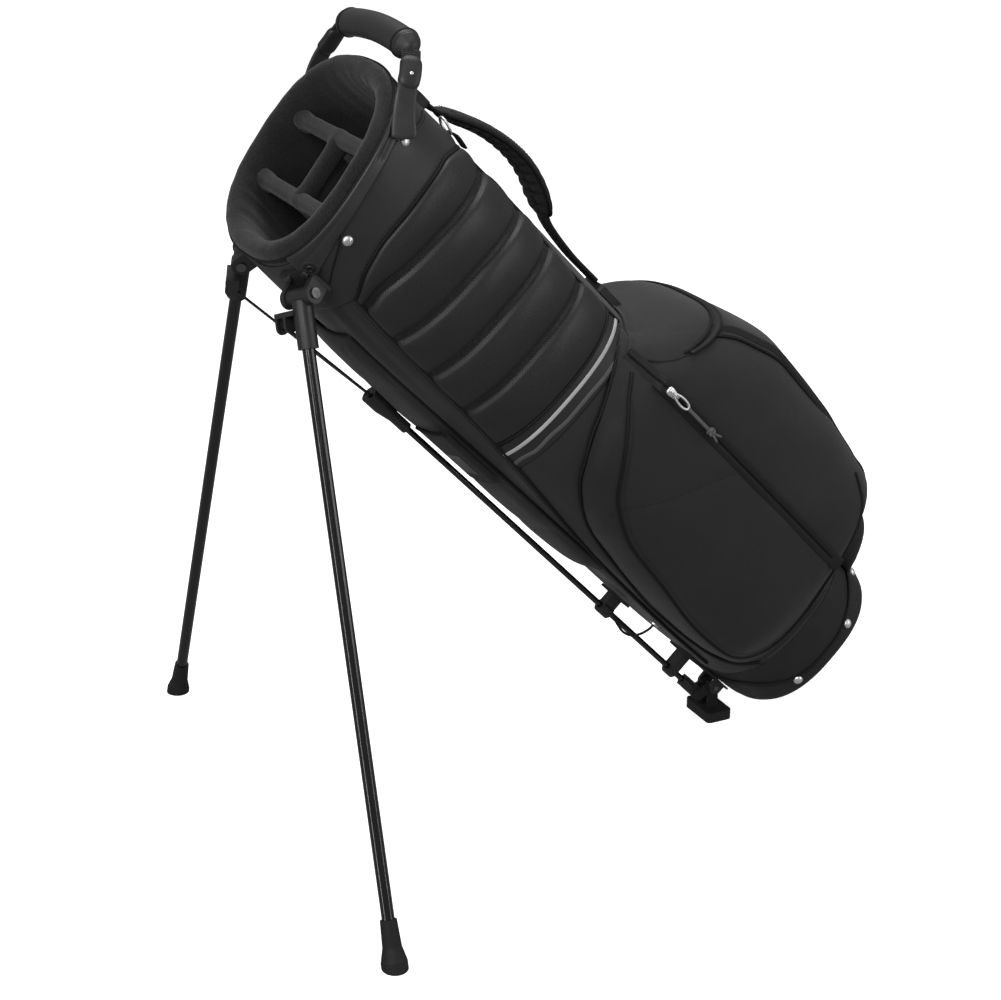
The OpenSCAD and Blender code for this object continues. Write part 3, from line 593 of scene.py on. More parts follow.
CHARCOAL = (0.0165, 0.0155, 0.0168)
MATERIALS = {
    "ballistic_fabric": fabric("coated_cloth", shade(CHARCOAL, 0.95)),
    "wall_cloth": fabric("smooth_wall_cloth", shade(CHARCOAL, 1.3), 0.5),
    "lining": fabric("lining_cloth", shade(CHARCOAL, 0.6), 0.8, 1.6, 0.08),
    "quilted_leatherette": leatherette("quilted_leatherette", shade(CHARCOAL, 0.9)),
    "plain_leatherette": leatherette("plain_leatherette", shade(CHARCOAL, 1.1), 0.52, dots=False),
    "padding_mesh": knit("padding_mesh", shade(CHARCOAL, 1.05)),
    "moulded_plastic": plastic("moulded_plastic", shade(CHARCOAL, 1.15)),
    # Painted light: the same moulded plastic as the brackets, made lighter for the collar band and the handle's
    # arms to stand in for their satin highlights; only its lower roughness is the satin finish itself.
    "band_plastic": plastic("satin_band_plastic", shade(CHARCOAL, 1.7), 0.38, 0.04),
    "base_rubber": plastic("base_rubber", shade(CHARCOAL, 1.1), 0.55, 0.08, 0.3, 0.3),
    "tube_metal": metal("gloss_black_tube", (0.004, 0.004, 0.0045), 0.16, 0.0, coat=0.35, scratch=0.01),
    "rubber_foot": plastic("foot_rubber", shade(CHARCOAL, 0.7), 0.66, 0.12, 0.4, 0.3),
    "spring_steel": metal("black_spring_steel", (0.03, 0.03, 0.032), 0.35, 0.7),
    "silver_metal": metal("bright_silver", (0.93, 0.93, 0.94), 0.42),
    "steel_pin": metal("steel_pin", (0.16, 0.16, 0.165), 0.4),
    "grey_band": ribbed("reflective_band", (0.52, 0.52, 0.53), 1.1, 0.05, 0.45, 0.9, 0.0),
    "dark_band": ribbed("dull_band", (0.1, 0.1, 0.105), 1.1, 0.05, 0.55, 0.9, 0.0),
    "webbing": ribbed("webbing", shade(CHARCOAL, 0.75), 2.2, 0.22, 0.75, 1.6),
    "zip_tape": ribbed("zip_tape", shade(CHARCOAL, 0.7), 1.6, 0.1, 0.5, 0.0, 0.0),
    "piping": ribbed("piping_cloth", shade(CHARCOAL, 0.32), 1.2, 0.05, 0.55, 0.0, 0.0),
    "thread": ribbed("thread", shade(CHARCOAL, 1.6), 0.8, 0.06, 0.6, 0.0, 0.0),
    "cord_grey": braid("grey_cord", (0.13, 0.13, 0.137)),
    "elastic": braid("black_elastic", shade(CHARCOAL, 0.8)),
    "glass_fibre": plastic("glass_fibre", (0.09, 0.09, 0.09), 0.5),
}


def paint_cad():
    """Every CAD node that stays in view gets its slot's material."""
    for row in frame["record"]["subparts"]:
        node = frame["nodes"][row["node"]]
        node.data.materials.clear()
        node.data.materials.append(MATERIALS[row["material_slot"]])


paint_cad()

# ---- Camera, floor and light ----------------------------------------------------------------


def make_camera():
    camera = bpy.data.objects.new("camera", bpy.data.cameras.new("camera"))
    bpy.context.scene.collection.objects.link(camera)
    camera.data.sensor_width = 36
    camera.data.lens = 78.52
    camera.location = (-1.0275, -1.9434, 1.1629)
    camera.rotation_euler = (math.radians(90 - 21.47), 0, math.radians(-26.01))
    bpy.context.scene.camera = camera


def make_floor():
    mesh = bpy.data.meshes.new("floor")
    size = 80
    mesh.from_pydata([(-size, -size, 0), (size, -size, 0), (size, size, 0), (-size, size, 0)], [],
                     [(0, 1, 2, 3)])
    floor = bpy.data.objects.new("floor", mesh)
    bpy.context.scene.collection.objects.link(floor)
    paint = Shader("pale_floor", (0.86, 0.86, 0.86), 0.9, Specular_IOR_Level=0.1,
                   Emission_Color=(1, 1, 1, 1), Emission_Strength=0.84)
    paint.tint(paint.spread(paint.noise(paint.object_place(), 6, 3), 0.3, 0.8, 0, 0.3), (0.84, 0.84, 0.84))
    mesh.materials.append(paint.done())
    floor.visible_diffuse = False
    floor.visible_glossy = False


def make_light(name, place_at, aim, size, power):
    light = bpy.data.objects.new(name, bpy.data.lights.new(name, "AREA"))
    light.data.shape = "RECTANGLE"
    light.data.size, light.data.size_y = size
    light.data.energy = power
    light.location = place_at
    light.rotation_euler = (Vector(aim) - Vector(place_at)).to_track_quat("-Z", "Y").to_euler()
    bpy.context.scene.collection.objects.link(light)


ROOM_LIGHT = 0.24


def make_studio():
    world = bpy.data.worlds.new("studio")
    world.use_nodes = True
    tree = world.node_tree
    background = tree.nodes["Background"]
    background.inputs["Color"].default_value = (1, 1, 1, 1)
    rays = tree.nodes.new("ShaderNodeLightPath")
    level = tree.nodes.new("ShaderNodeMapRange")
    level.inputs["To Min"].default_value = ROOM_LIGHT
    level.inputs["To Max"].default_value = 1.0
    tree.links.new(rays.outputs["Is Camera Ray"], level.inputs["Value"])
    tree.links.new(level.outputs["Result"], background.inputs["Strength"])
    bpy.context.scene.world = world
    bpy.context.scene.view_settings.view_transform = "Standard"
    make_light("key", (-2.2, -2.0, 2.6), (0, 0, 0.5), (1.6, 1.6), 55)
    make_light("fill", (2.4, -1.8, 1.6), (0, 0, 0.4), (1.5, 2.0), 18)
    make_light("top", (0.2, 0.6, 3.0), (0, 0, 0.5), (2.0, 1.2), 40)
    make_light("strip_left", (-2.6, -0.9, 0.8), (-0.3, 0, 0.5), (0.22, 2.4), 16)
    make_light("strip_right", (1.4, -2.4, 0.8), (-0.3, 0, 0.5), (0.18, 2.4), 10)


make_camera()
make_floor()
make_studio()

# ---- Cords ----------------------------------------------------------------------------------

KEEPER_ROUTE = [[-129, -10, 216], [-133, -13, 205], [-135, -15, 194], [-132, -17, 184],
                [-124, -19, 177], [-114, -20, 173], [-105.5, -20, 172]]
PULL_ROUTE = [[72, 0, 414], [72, 0, 408], [72, 0, 402], [72, 0, 396], [72, 0, 390], [72, 0, 384],
              [72, 0, 379]]


def make_keeper_cord():
    path = even_points(KEEPER_ROUTE, step=2)
    cord = make_tube("keeper_elastic", path, 1.5, sides=12, look="elastic")
    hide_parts("keeper_cord")


def make_pull_cord(side_name):
    side = SIDES[side_name]
    route = [[x, side * (PULL_Y + y), u] for x, y, u in PULL_ROUTE]
    path = even_points(route, step=1.5)
    cord = make_tube(f"pull_cord_braid_{side_name}", path, 1.9, sides=12, body=f"pull_{side_name}",
                     look="cord_grey")
    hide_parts(f"pull_cord_{side_name}")


make_keeper_cord()
for side_name in SIDES:
    make_pull_cord(side_name)

# ---- Helpers for pieces on the bag ----------------------------------------------------------


def mirrored(grid):
    """A grid of the left side as the right side's, still facing outwards."""
    return grid[:, ::-1] * np.array([1, -1, 1])


def side_grid(grid, side):
    return grid if side > 0 else mirrored(grid)


def edge_pins(grid):
    """Pins for the two outermost rows and columns all round a grid."""
    pins = np.zeros(grid.shape[:2])
    pins[[0, 1, -1, -2]] = 1
    pins[:, [0, 1, -1, -2]] = 1
    return pins


def crowded(count):
    """Shares from 0 to 1 that crowd together at both ends, for rounded edges."""
    return 0.5 - 0.5 * np.cos(np.linspace(0, math.pi, count))


# ---- Walls, quilting and bands --------------------------------------------------------------

STRAP_EDGE = [[500, 34], [600, 36], [677, 27], [770, 26]]
LEG_EDGE = [[160, 161], [232, 157], [315, 152], [400, 145], [500, 137], [555, 134], [685, 131], [770, 128]]
QUILT_SEAMS = [
    [[0, 762], [0.22, 782], [0.45, 786], [0.7, 785], [0.86, 774], [1, 754]],
    [[0, 726], [0.5, 738], [0.85, 746], [1, 738]],
    [[0, 668], [0.5, 683], [1, 690]],
    [[0, 621], [0.5, 631], [1, 634]],
    [[0, 568], [0.5, 576], [1, 577]],
    [[0, 523], [1, 525]],
]
BAND_MM = 9


def between_edges(u, share):
    """Angle on the wall, at a share of the way from the strap side's edge to the leg side's."""
    return lookup(u, STRAP_EDGE) + (lookup(u, LEG_EDGE) - lookup(u, STRAP_EDGE)) * share


def fold_height(a, u):
    """Height of the long soft folds along the slack underside."""
    away = (np.asarray(a) % 360) - 180
    window = rise((u - 80) / 90) * rise((770 - u) / 70)
    height = 1.5 * np.sin(u / 61 + away / 9) * bell(away, 0, 26)
    for start, drift, width, tall in ((-20, -12, 5, 3.2), (-33, -9, 3.6, 2.4), (24, 10, 5, 3.0),
                                      (36, 8, 3.6, 2.2)):
        ridge = start + drift * (u - 450) / 350
        height = height + tall * bell(away, ridge, width) * (0.6 + 0.4 * np.sin(u / 83 + start))
    return height * window


def make_walls():
    """The tube's cloth, one sheet that stands for all four walls."""
    u = np.concatenate([np.linspace(21, 72, 8), np.linspace(76, 797, 120)])[:, None]
    a = np.linspace(0, 360, 200, endpoint=False)[None]
    d = -4 * (1 - rise((u - 66) / 14)) + fold_height(a, u)
    slope = MOUTH_TILT * np.clip((u - 690) / 107, 0, 1) ** 2
    wall = make_slab("wall_cloth", at_wall(a, u, d, slope), 2.4, wrap=True, look="wall_cloth")
    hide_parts("side_wall_left", "side_wall_right", "spine_wall", "underside_wall")


def quilt_place(share, k):
    """Height of seam k where share of the way from the strap side to the leg side."""
    return eased(share, QUILT_SEAMS[k], 0.06)


def make_quilt(side_name):
    side = SIDES[side_name]
    cols, rows = 96, 26
    share = np.linspace(0, 1, cols)[None]
    heights, offsets, bands, pins = [], [], [], []
    edge = both_ends(share, 0.07)
    for k in range(len(QUILT_SEAMS) - 1):
        high, low = quilt_place(share, k), quilt_place(share, k + 1)
        last = k == len(QUILT_SEAMS) - 2
        w = np.linspace(0, 1, rows)[:rows if last else -1, None]
        band_share = BAND_MM / (high - low) * (not last)
        t = np.clip(w / (1 - band_share), 0, 1)
        puff = np.maximum(0, np.sin(math.pi * t ** 0.62)) ** 0.75
        in_band = np.clip((w - 1 + band_share) * (high - low) / 1.5, 0, 1) * np.ones_like(share)
        heights.append(high + (low - high) * w)
        offsets.append(2.0 + 5.2 * puff * edge - 0.7 * in_band)
        bands.append(in_band * (edge > 0.2))
        pins.append(np.clip(1 - puff * edge * 2.5, 0, 1) ** 2 + in_band)
    u, d, band, pin = (np.concatenate(v)[::-1] for v in (heights, offsets, bands, pins))
    a = between_edges(u, share)
    grid = side_grid(at_wall(a, u, d), side)
    band, pin = (v if side > 0 else v[:, ::-1] for v in (band, np.clip(pin, 0, 1)))
    pin = np.where(pin > 0.5, 1.0, 0.0)
    grid = settle(f"quilt_{side_name}", grid, pin, pressure=5, cap=3.0)
    quilt = make_slab(f"quilted_cover_{side_name}", grid, 1.6, fields={"band": band},
                      look="quilted_leatherette")
    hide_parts(f"quilted_panel_{side_name}")
    for k in range(1, len(QUILT_SEAMS) - 1):
        for lift in (1.4, BAND_MM - 1.2):
            line_u = quilt_place(share[0], k) + lift
            line_a = between_edges(line_u, share[0])
            keep = (share[0] > 0.03) & (share[0] < 0.97)
            path = at_wall(side * line_a[keep], line_u[keep], 2.2)
            make_stitches(f"quilt_stitches_{side_name}_{k}_{'low' if lift < 3 else 'high'}", path,
                          pitch=3.4)
    edges = {"top": quilt_place(share[0], 0) + 1, "bottom": quilt_place(share[0], 5) - 1}
    for name, line_u in edges.items():
        line_a = between_edges(line_u, share[0])
        make_tube(f"quilt_piping_{side_name}_{name}", at_wall(side * line_a, line_u, 2.2), 1.5, sides=8,
                  look="piping")


def make_long_piping(side_name):
    side = SIDES[side_name]
    for name, edge, low, high in (("strap", STRAP_EDGE, 502, 766), ("leg", LEG_EDGE, 96, 756)):
        u = np.linspace(low, high, 90)
        a = eased(u, edge, 30)
        d = 1.2 + fold_height(side * a, u)
        make_tube(f"wall_piping_{name}_{side_name}", at_wall(side * a, u, d), 2.0, sides=10,
                  look="piping")
        offset = 3.5 if name == "leg" else -3.5
        seam = at_wall(side * (a + offset), u, d - 0.7)
        make_stitches(f"wall_stitches_{name}_{side_name}", seam)


def make_band(name, side_name, first, last, low, high, height, material, wave=0.0):
    """A woven band round one side of the bag."""
    side = SIDES[side_name]
    share = np.linspace(0, 1, 70)[None]
    a = first + (last - first) * share
    bulge = 5 * np.sin(math.pi * share) + wave * np.sin(share * 23) * share
    v = crowded(9)[:, None]
    u = low + (high - low) * v + bulge
    d = 1.1 + height * both_ends(v, 0.2) * np.ones_like(share)
    return make_slab(f"{name}_{side_name}", side_grid(at_wall(a, u, d), side), 0.9, look=material)


def make_bands():
    for side_name in SIDES:
        bright = make_band("bright_band", side_name, 35, 138, 504.5, 509.2, 1.1, "grey_band")
        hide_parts("stripe_bright")
        dull = make_band("dull_band", side_name, 56, 139, 489, 494, 0.9, "dark_band", wave=1.4)
        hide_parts("stripe_dark")
        make_band("band_ground", side_name, 36, 139, 484, 519, 0.5, "plain_leatherette")


make_walls()
for side_name in SIDES:
    make_quilt(side_name)
    make_long_piping(side_name)
make_bands()

# ---- Collar, mouth and dividers -------------------------------------------------------------


YOKE_FIRST_A, YOKE_LAST_A = 26, 128
YOKE_STRAP_U, YOKE_LEG_U = 762, 756
BAND_FIRST_A, BAND_LAST_A = 47, 143
BOSS_A, BOSS_U = 134, 812.0


def yoke_low(a):
    """Lower edge of the yoke: the quilting's top seam at the sides, and level over the spine."""
    away = from_strap_side(a)
    share = (away - YOKE_FIRST_A) / (YOKE_LAST_A - YOKE_FIRST_A)
    seam = eased(np.clip(share, 0, 1), QUILT_SEAMS[0], 0.05)
    return np.where(away < YOKE_FIRST_A, YOKE_STRAP_U, np.where(away > YOKE_LAST_A, YOKE_LEG_U, seam))


def make_yoke():
    a = np.linspace(0, 360, 220, endpoint=False)[None]
    v = np.linspace(0, 1, 22)[:, None]
    low = yoke_low(a)
    x = at_wall(a, 800.0)[..., 0]
    high = BAG_L - 12 + MOUTH_TILT * x
    d = 0.9 + 1.7 * rise(v / 0.12) * (1 - 0.35 * v) + 0.5 * np.sin(np.radians(a) * 5) * np.sin(math.pi * v)
    yoke = make_slab("yoke", at_wall(a, low + (high - low) * v, d), 1.8, wrap=True,
                     look="plain_leatherette")
    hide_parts("top_collar")


YOKE_SEAM = [(-79, 787), (-68, 799), (-54, 811), (-28, 832), (-8, 839), (16, 842), (40, 844), (59, 842),
             (70, 835),
             (82, 826), (98, 818)]


def make_yoke_seams(side_name):
    side = SIDES[side_name]
    curve = even_points(YOKE_SEAM, step=4)
    a = wall_angle(curve[:, 0], curve[:, 1])
    make_tube(f"yoke_piping_{side_name}", at_wall(side * a, curve[:, 1], 2.3), 1.1, sides=8, look="piping")
    make_stitches(f"yoke_stitches_{side_name}", at_wall(side * a, curve[:, 1] - 4, 2.6))
    share = np.linspace(0.02, 0.98, 80)
    line_u = quilt_place(share, 0) + 5
    line_a = between_edges(line_u, share)
    make_stitches(f"yoke_low_stitches_{side_name}", at_wall(side * line_a, line_u, 2.6))


def make_collar_band(side_name):
    """Moulded band under the rim, from the handle's post to the leg bracket, where it widens."""
    side = SIDES[side_name]
    share, v = crowded(90)[None], crowded(26)[:, None]
    a = BAND_FIRST_A + (BAND_LAST_A - BAND_FIRST_A) * share
    x = at_wall(a, 840.0)[..., 0]
    high = BAG_L - 3 + MOUTH_TILT * x
    low = high - lookup(a, [[47, 13], [58, 15], [90, 16], [112, 19], [126, 27], [143, 38]])
    length = high - low
    edge = rise(v * length / 3) * rise((1 - v) * length / 3) * both_ends(share, 0.03)
    grooves = 0.9 * np.maximum(0, np.sin(v * 4 * math.pi)) ** 2 * bell(a, 116, 16)
    slot = 1.6 * bell(v, 0.55, 0.16) * np.clip((70 - np.abs(a - 70) * 8) / 10, 0, 1)
    d = 1.5 + (3.4 - grooves - slot) * edge
    band = make_slab(f"collar_band_{side_name}", side_grid(at_wall(a, low + length * v, d), side), 1.4,
                     look="band_plastic")
    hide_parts(f"handle_arm_{side_name}")
    centre = at_wall(side * BOSS_A, BOSS_U, 5.0)
    outward = at_wall(side * BOSS_A, BOSS_U, 6.0) - centre
    boss = [(9, -2.5), (9, -0.4), (8.4, 0.3), (6, 0.4), (5.2, -0.6), (0.1, -0.6)]
    screw = [(4.6, -1.5), (4.6, 0.6), (3.8, 1.5), (2.1, 1.7), (1.9, 0.9), (0.1, 0.9)]
    make_lathe(f"band_boss_{side_name}", boss, centre, outward, look="moulded_plastic")
    make_lathe(f"band_screw_{side_name}", screw, centre, outward, look="spring_steel")


RIM_PROFILE = [[0.2, -13], [1.2, -8], [1.4, -3], [-0.5, 2.5], [-4, 6], [-8.5, 7.2], [-13, 5.6], [-17, 0.8],
               [-19.2, -6],
               [-20, -16], [-19, -32], [-16, -52], [-11, -74], [-6, -92], [-4.4, -92], [-4.0, -60],
               [-4.0, -30]]


def make_rim():
    """Padded mesh roll round the mouth, with the lining that goes down inside it."""
    profile = even_points(RIM_PROFILE, count=56)
    a = np.linspace(0, 360, 260, endpoint=False)[None]
    swell = 0.35 * np.sin(np.radians(a) * 17 + 1) + 0.3 * np.sin(np.radians(a) * 29 + 2)
    inside = np.clip((-profile[:, :1] - 8) / 10, 0, 1)
    crease = sum(bell(a, at, 2.2) for at in (8, 60, 127, 178, 231, 300, 352))
    d = profile[:, :1] + inside * (swell * 0.8 - 0.8 * crease) + 0 * a
    height = profile[:, 1:] + swell * 0.5 * rise((profile[:, 1:] + 14) / 14)
    grid = at_wall(a, BAG_L, d)
    x = grid[..., 0].copy()
    grid[..., 2] = BAG_L + height + MOUTH_TILT * x
    rows, cols = grid.shape[:2]
    faces = grid_faces(rows, cols, wrap_rows=True, wrap_cols=True)
    st = surface_lengths(grid)
    rim = make_piece("rim_roll", grid.reshape(-1, 3), faces, st=st.reshape(-1, 3), look="padding_mesh")
    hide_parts("rim_padding")
    ring = at_wall(a[0], BAG_L, 1.9)
    ring[:, 2] = BAG_L - 3.5 + MOUTH_TILT * ring[:, 0]
    make_tube("rim_piping", ring, 1.5, sides=8, closed=True, look="piping")


BAR_X = 35
BAR_HALF = 96
SHEET_HALF = 84
SHEET_LOW = 60
MIDDLE_HIGH = BAG_L - 50


def bar_top(x):
    return BAG_L - 22 + MOUTH_TILT * x


def make_dividers():
    pieces = []
    for name, x in (("strap_side", BAR_X), ("leg_side", -BAR_X)):
        y = np.linspace(-BAR_HALF, BAR_HALF, 60)
        flare = 2.2 * (bell(y, -BAR_HALF, 10) + bell(y, BAR_HALF, 10)) + 0.9 * bell(y, 0, 9)
        sag = -1.5 * np.cos(y / BAR_HALF * math.pi / 2)
        path = np.stack([np.full_like(y, x), y, bar_top(x) + sag], -1)
        bar = make_tube(f"divider_bar_{name}", path, 8.2 + flare, ry=10.6 + flare, sides=28, ref=[0, 0, 1],
                        square=2.4,
                        look="padding_mesh")
        pieces.append(bar)
    x = np.linspace(-BAR_X + 4, BAR_X - 4, 30)
    path = np.stack([x, np.zeros_like(x), bar_top(x) - 1.5], -1)
    flare = 1.8 * (bell(x, -31, 6) + bell(x, 31, 6))
    middle = make_tube("divider_bar_middle", path, 8.0 + flare, ry=10.0 + flare, sides=28, ref=[0, 0, 1],
                       square=2.4,
                       look="padding_mesh")
    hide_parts("divider_frame")
    for name, x0, high in (("strap_side", BAR_X, BAG_L - 42), ("leg_side", -BAR_X, BAG_L - 50)):
        y, u = np.linspace(-SHEET_HALF, SHEET_HALF, 40)[None], np.linspace(SHEET_LOW, high, 90)[:, None]
        loose = np.clip((high - u) / 300, 0, 1)
        ripple = 1.6 * np.sin(y / 23 + u / 140) + 1.2 * np.sin(y / 11 - u / 90)
        x = x0 + loose * ripple * np.cos(y / SHEET_HALF * math.pi / 2)
        grid = np.stack(np.broadcast_arrays(x, y, u), -1)
        cloth = make_slab(f"divider_cloth_{name}", grid, 1.2, look="lining")
        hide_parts("divider_cross_sheets")
    x = np.linspace(-BAR_X + 3.5, BAR_X - 3.5, 20)[None]
    u = np.linspace(SHEET_LOW, MIDDLE_HIGH, 90)[:, None]
    y = np.clip((MIDDLE_HIGH - u) / 300, 0, 1) * 1.6 * np.sin(x / 12 + u / 120)
    grid = np.stack(np.broadcast_arrays(x, y, u), -1)
    cloth = make_slab("divider_cloth_middle", grid, 1.2, look="lining")
    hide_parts("divider_middle_sheet")


make_yoke()
make_rim()
make_dividers()
for side_name in SIDES:
    make_yoke_seams(side_name)
    make_collar_band(side_name)

# ---- Pockets --------------------------------------------------------------------------------

POCKET_TOP = 500
SIDE_EDGE = 38
BALL_LOW, BALL_HIGH, BALL_FLOOR = 46, 480, 92
TOP_POCKET_U = 490
OUTER_X = [[74, -42], [86, -70], [100, -82], [130, -90], [170, -93], [230, -94], [303, -89], [363, -82],
           [400, -71],
           [430, -54], [450, -30], [475, 14], [490, 48], [500, 72]]
INNER_X = [[88, -8], [93, -40], [102, -62], [120, -78], [143, -84], [189, -84], [265, -76], [330, -69],
           [365, -60],
           [400, -42], [446, 10], [476, 58], [490, 78], [500, 88]]


def pocket_oval(a, u):
    out, back = eased(u, POCKET_X), eased(u, HALF_X)
    x, y = oval(a, (out + back) / 2, eased(u, POCKET_Y), POCKET_N)
    return np.stack(np.broadcast_arrays(x + (out - back) / 2, y, u), -1)


def pocket_angle(x, u):
    """Angle at which the pockets' outer skin passes a given x."""
    out, back = eased(u, POCKET_X), eased(u, HALF_X)
    share = np.clip((x - (out - back) / 2) / ((out + back) / 2), -1, 1)
    return np.degrees(np.arccos(np.sign(share) * np.abs(share) ** (POCKET_N / 2)))


def pocket_skin(a, u, fill):
    near = at_wall(a, u, 1.2)
    far = pocket_oval(a, u)
    return near + (far - near) * np.asarray(fill)[..., None]


def pocket_depth(a, u):
    """How far the pockets stand out, from 0 at both ends to 1; it drops sooner towards the strap side."""
    away = rise((np.abs(a) - SIDE_EDGE) / 34)
    middle = rise((SIDE_EDGE - np.abs(a)) / 16)
    high = rise((482 - u) / 60) * (1 - away) + rise((POCKET_TOP + 1 - u) / 72) * away
    low = rise((u - 86) / 46) * (1 - middle) + rise((u - BALL_LOW) / 48) * middle
    return high * low


def side_pocket_grid(rows=120, cols=130):
    """Outer skin of the left side pocket, from the ball pocket's edge to its seam on the wall."""
    u = np.linspace(76, POCKET_TOP, rows)[:, None]
    leg = wall_angle(eased(u, OUTER_X, 8), u)
    corner = np.minimum(pocket_angle(eased(u, INNER_X, 8), u), leg - 4)
    fine = np.linspace(0, 1, 500)[None]
    a = SIDE_EDGE + (leg - SIDE_EDGE) * fine
    t = np.clip((leg - a) / (leg - corner), 0, 1)
    fill = rise(t) * pocket_depth(a, u)
    points = pocket_skin(a, u, fill)
    out = []
    for row in points:
        lengths = travelled(row)
        at = np.linspace(0, lengths[-1], cols)
        out.append(np.stack([np.interp(at, lengths, row[:, k]) for k in range(3)], -1))
    return np.array(out)


def skin_nearest(grid, points):
    """For each (x, u) the point of the grid's outer skin nearest to it, for seams drawn on the skin."""
    flat = grid.reshape(-1, 3)
    found = []
    for x, u in points:
        reach = (flat[:, 0] - x) ** 2 + (flat[:, 2] - u) ** 2
        best = np.argsort(reach)[:4]
        weight = 1 / (reach[best] + 0.5)
        y = (flat[best, 1] * weight).sum() / weight.sum()
        found.append([x, y, u])
    return np.array(found)


def smoothed(path, times=3):
    path = path.copy()
    for _ in range(times):
        path[1:-1] = (path[:-2] + 2 * path[1:-1] + path[2:]) / 4
    return path


def skin_line(grid, curve, lift, side):
    """A smooth line on the pocket's skin through (x, u) points, lifted off it."""
    path = smoothed(skin_nearest(grid, even_points(curve, step=4)))
    path[:, 1] += lift
    return path * np.array([1, side, 1])


PANEL_EDGE = [(60, 478), (40, 468), (11, 446), (-18, 422), (-43, 398), (-60, 365), (-69, 333), (-76, 265),
              (-83, 200),
              (-83, 150), (-77, 120), (-60, 102), (-32, 92), (9, 91), (40, 98), (75, 112), (110, 124),
              (140, 140),
              (160, 168)]
GUSSET_EDGE = [(71, 498), (48, 490), (14, 474), (-30, 450), (-54, 430), (-71, 400), (-82, 363), (-89, 303),
               (-94, 230),
               (-93, 170), (-89, 126), (-80, 98), (-60, 80)]
LOW_SEAM = [(-62, 386), (-46, 384), (-15, 360), (15, 342), (42, 326), (62, 312)]


def make_side_pocket(side_name):
    side = SIDES[side_name]
    grid = side_pocket_grid()
    x, u = grid[..., 0], grid[..., 2]
    groove = 1.6 * bell(x, ZIP_X, 3.2) * rise((u - 132) / 8) * rise((456 - u) / 8)
    seam_u = lookup(x, LOW_SEAM)
    groove = groove + 1.2 * bell(u, seam_u, 2.4) * (x > -60) * (x < 62) * (np.abs(grid[..., 1]) > 100)
    soft = 2.2 * bell(x, 5, 60) * bell(u, 210, 90) + 1.6 * bell(x, 130, 40) * bell(u, 320, 80)
    soft = soft + 0.8 * np.sin(x / 17 + u / 31) * np.sin(u / 47) * rise((u - 100) / 40) * rise((480
                                                                                                - u) / 60)
    beside_zip = bell(x, ZIP_X, 9) * rise((u - 130) / 12) * rise((462 - u) / 10)
    grid = grid + grid_normals(grid) * (soft * (1 - beside_zip) - groove)[..., None]
    pins = edge_pins(grid)
    pins[(groove > 0.25) | (beside_zip > 0.35)] = 1
    near_edge = np.min([np.hypot(x - ex, u - eu) for ex, eu in even_points(PANEL_EDGE, step=6)], axis=0)
    pins[(near_edge < 3.5)] = 1
    grid = settle(f"side_pocket_{side_name}", grid, pins, pressure=3, cap=3.5)
    pocket = make_slab(f"side_pocket_cover_{side_name}", side_grid(grid, side), 1.5,
                       look="ballistic_fabric")
    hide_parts(f"side_pocket_{side_name}")
    make_tube(f"panel_piping_{side_name}", skin_line(grid, PANEL_EDGE, 0.6, side), 1.9, sides=10,
              look="piping")
    u = np.array([p[1] for p in GUSSET_EDGE], float)
    gusset_x = np.array([p[0] for p in GUSSET_EDGE], float)
    line = even_points(np.stack([wall_angle(gusset_x, u), u], -1), step=4)
    make_tube(f"gusset_piping_{side_name}", at_wall(side * line[:, 0], line[:, 1], 2.6), 1.9, sides=10,
              look="piping")
    make_stitches(f"low_seam_stitches_{side_name}", skin_line(grid, [(x, u - 3.2) for x, u in LOW_SEAM],
                                                              0.5, side))
    inset = [(x + 5 * (x < 30), u - 5 * (u > 300) + 5 * (u < 130)) for x, u in PANEL_EDGE[1:-3]]
    make_stitches(f"panel_stitches_{side_name}", skin_line(grid, inset, 0.5, side))
    make_zip(side_name, grid)


def make_zip(side_name, grid):
    """Side zip: two coated welts that meet over a slit, with the coil showing between them."""
    side = SIDES[side_name]
    u = np.linspace(128, 490, 120)
    centre = smoothed(skin_nearest(grid, np.stack([np.full_like(u, ZIP_X), u], -1)), 6)
    straight = rise((u - 136) / 16) * rise((456 - u) / 10)
    centre[:, 1] += (SIDE_OUT - 1.0 - centre[:, 1]) * straight
    for name, shift in (("front", -4.6), ("back", 4.6)):
        path = (centre + np.array([shift, 0.9, 0])) * np.array([1, side, 1])
        welt = make_tube(f"zip_welt_{name}_{side_name}", path, 3.9, ry=1.5, sides=14, ref=[0, side, 0],
                         square=2.6,
                         look="zip_tape")
        for edge in (-2.7, 2.7):
            line = path + np.array([edge, side * 1.2, 0])
            make_stitches(f"zip_stitches_{name}_{'in' if edge * shift < 0 else 'out'}_{side_name}", line,
                          pitch=3.2,
                          radius=0.35)
    coil = (centre + np.array([0, 0.2, 0])) * np.array([1, side, 1])
    make_teeth(f"zip_coil_{side_name}", coil, side)
    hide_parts(f"zip_{side_name}")
    spot = skin_nearest(grid, [(ZIP_X, 126)])[0] * np.array([1, side, 1]) + np.array([0, side * 2.0, 0])
    patch = np.stack([spot + np.array([0, 0, s]) for s in (-7, -3, 3, 7)])
    make_tube(f"zip_end_{side_name}", patch, 8.5, ry=1.5, sides=18, ref=[0, side, 0], square=4,
              look="zip_tape")


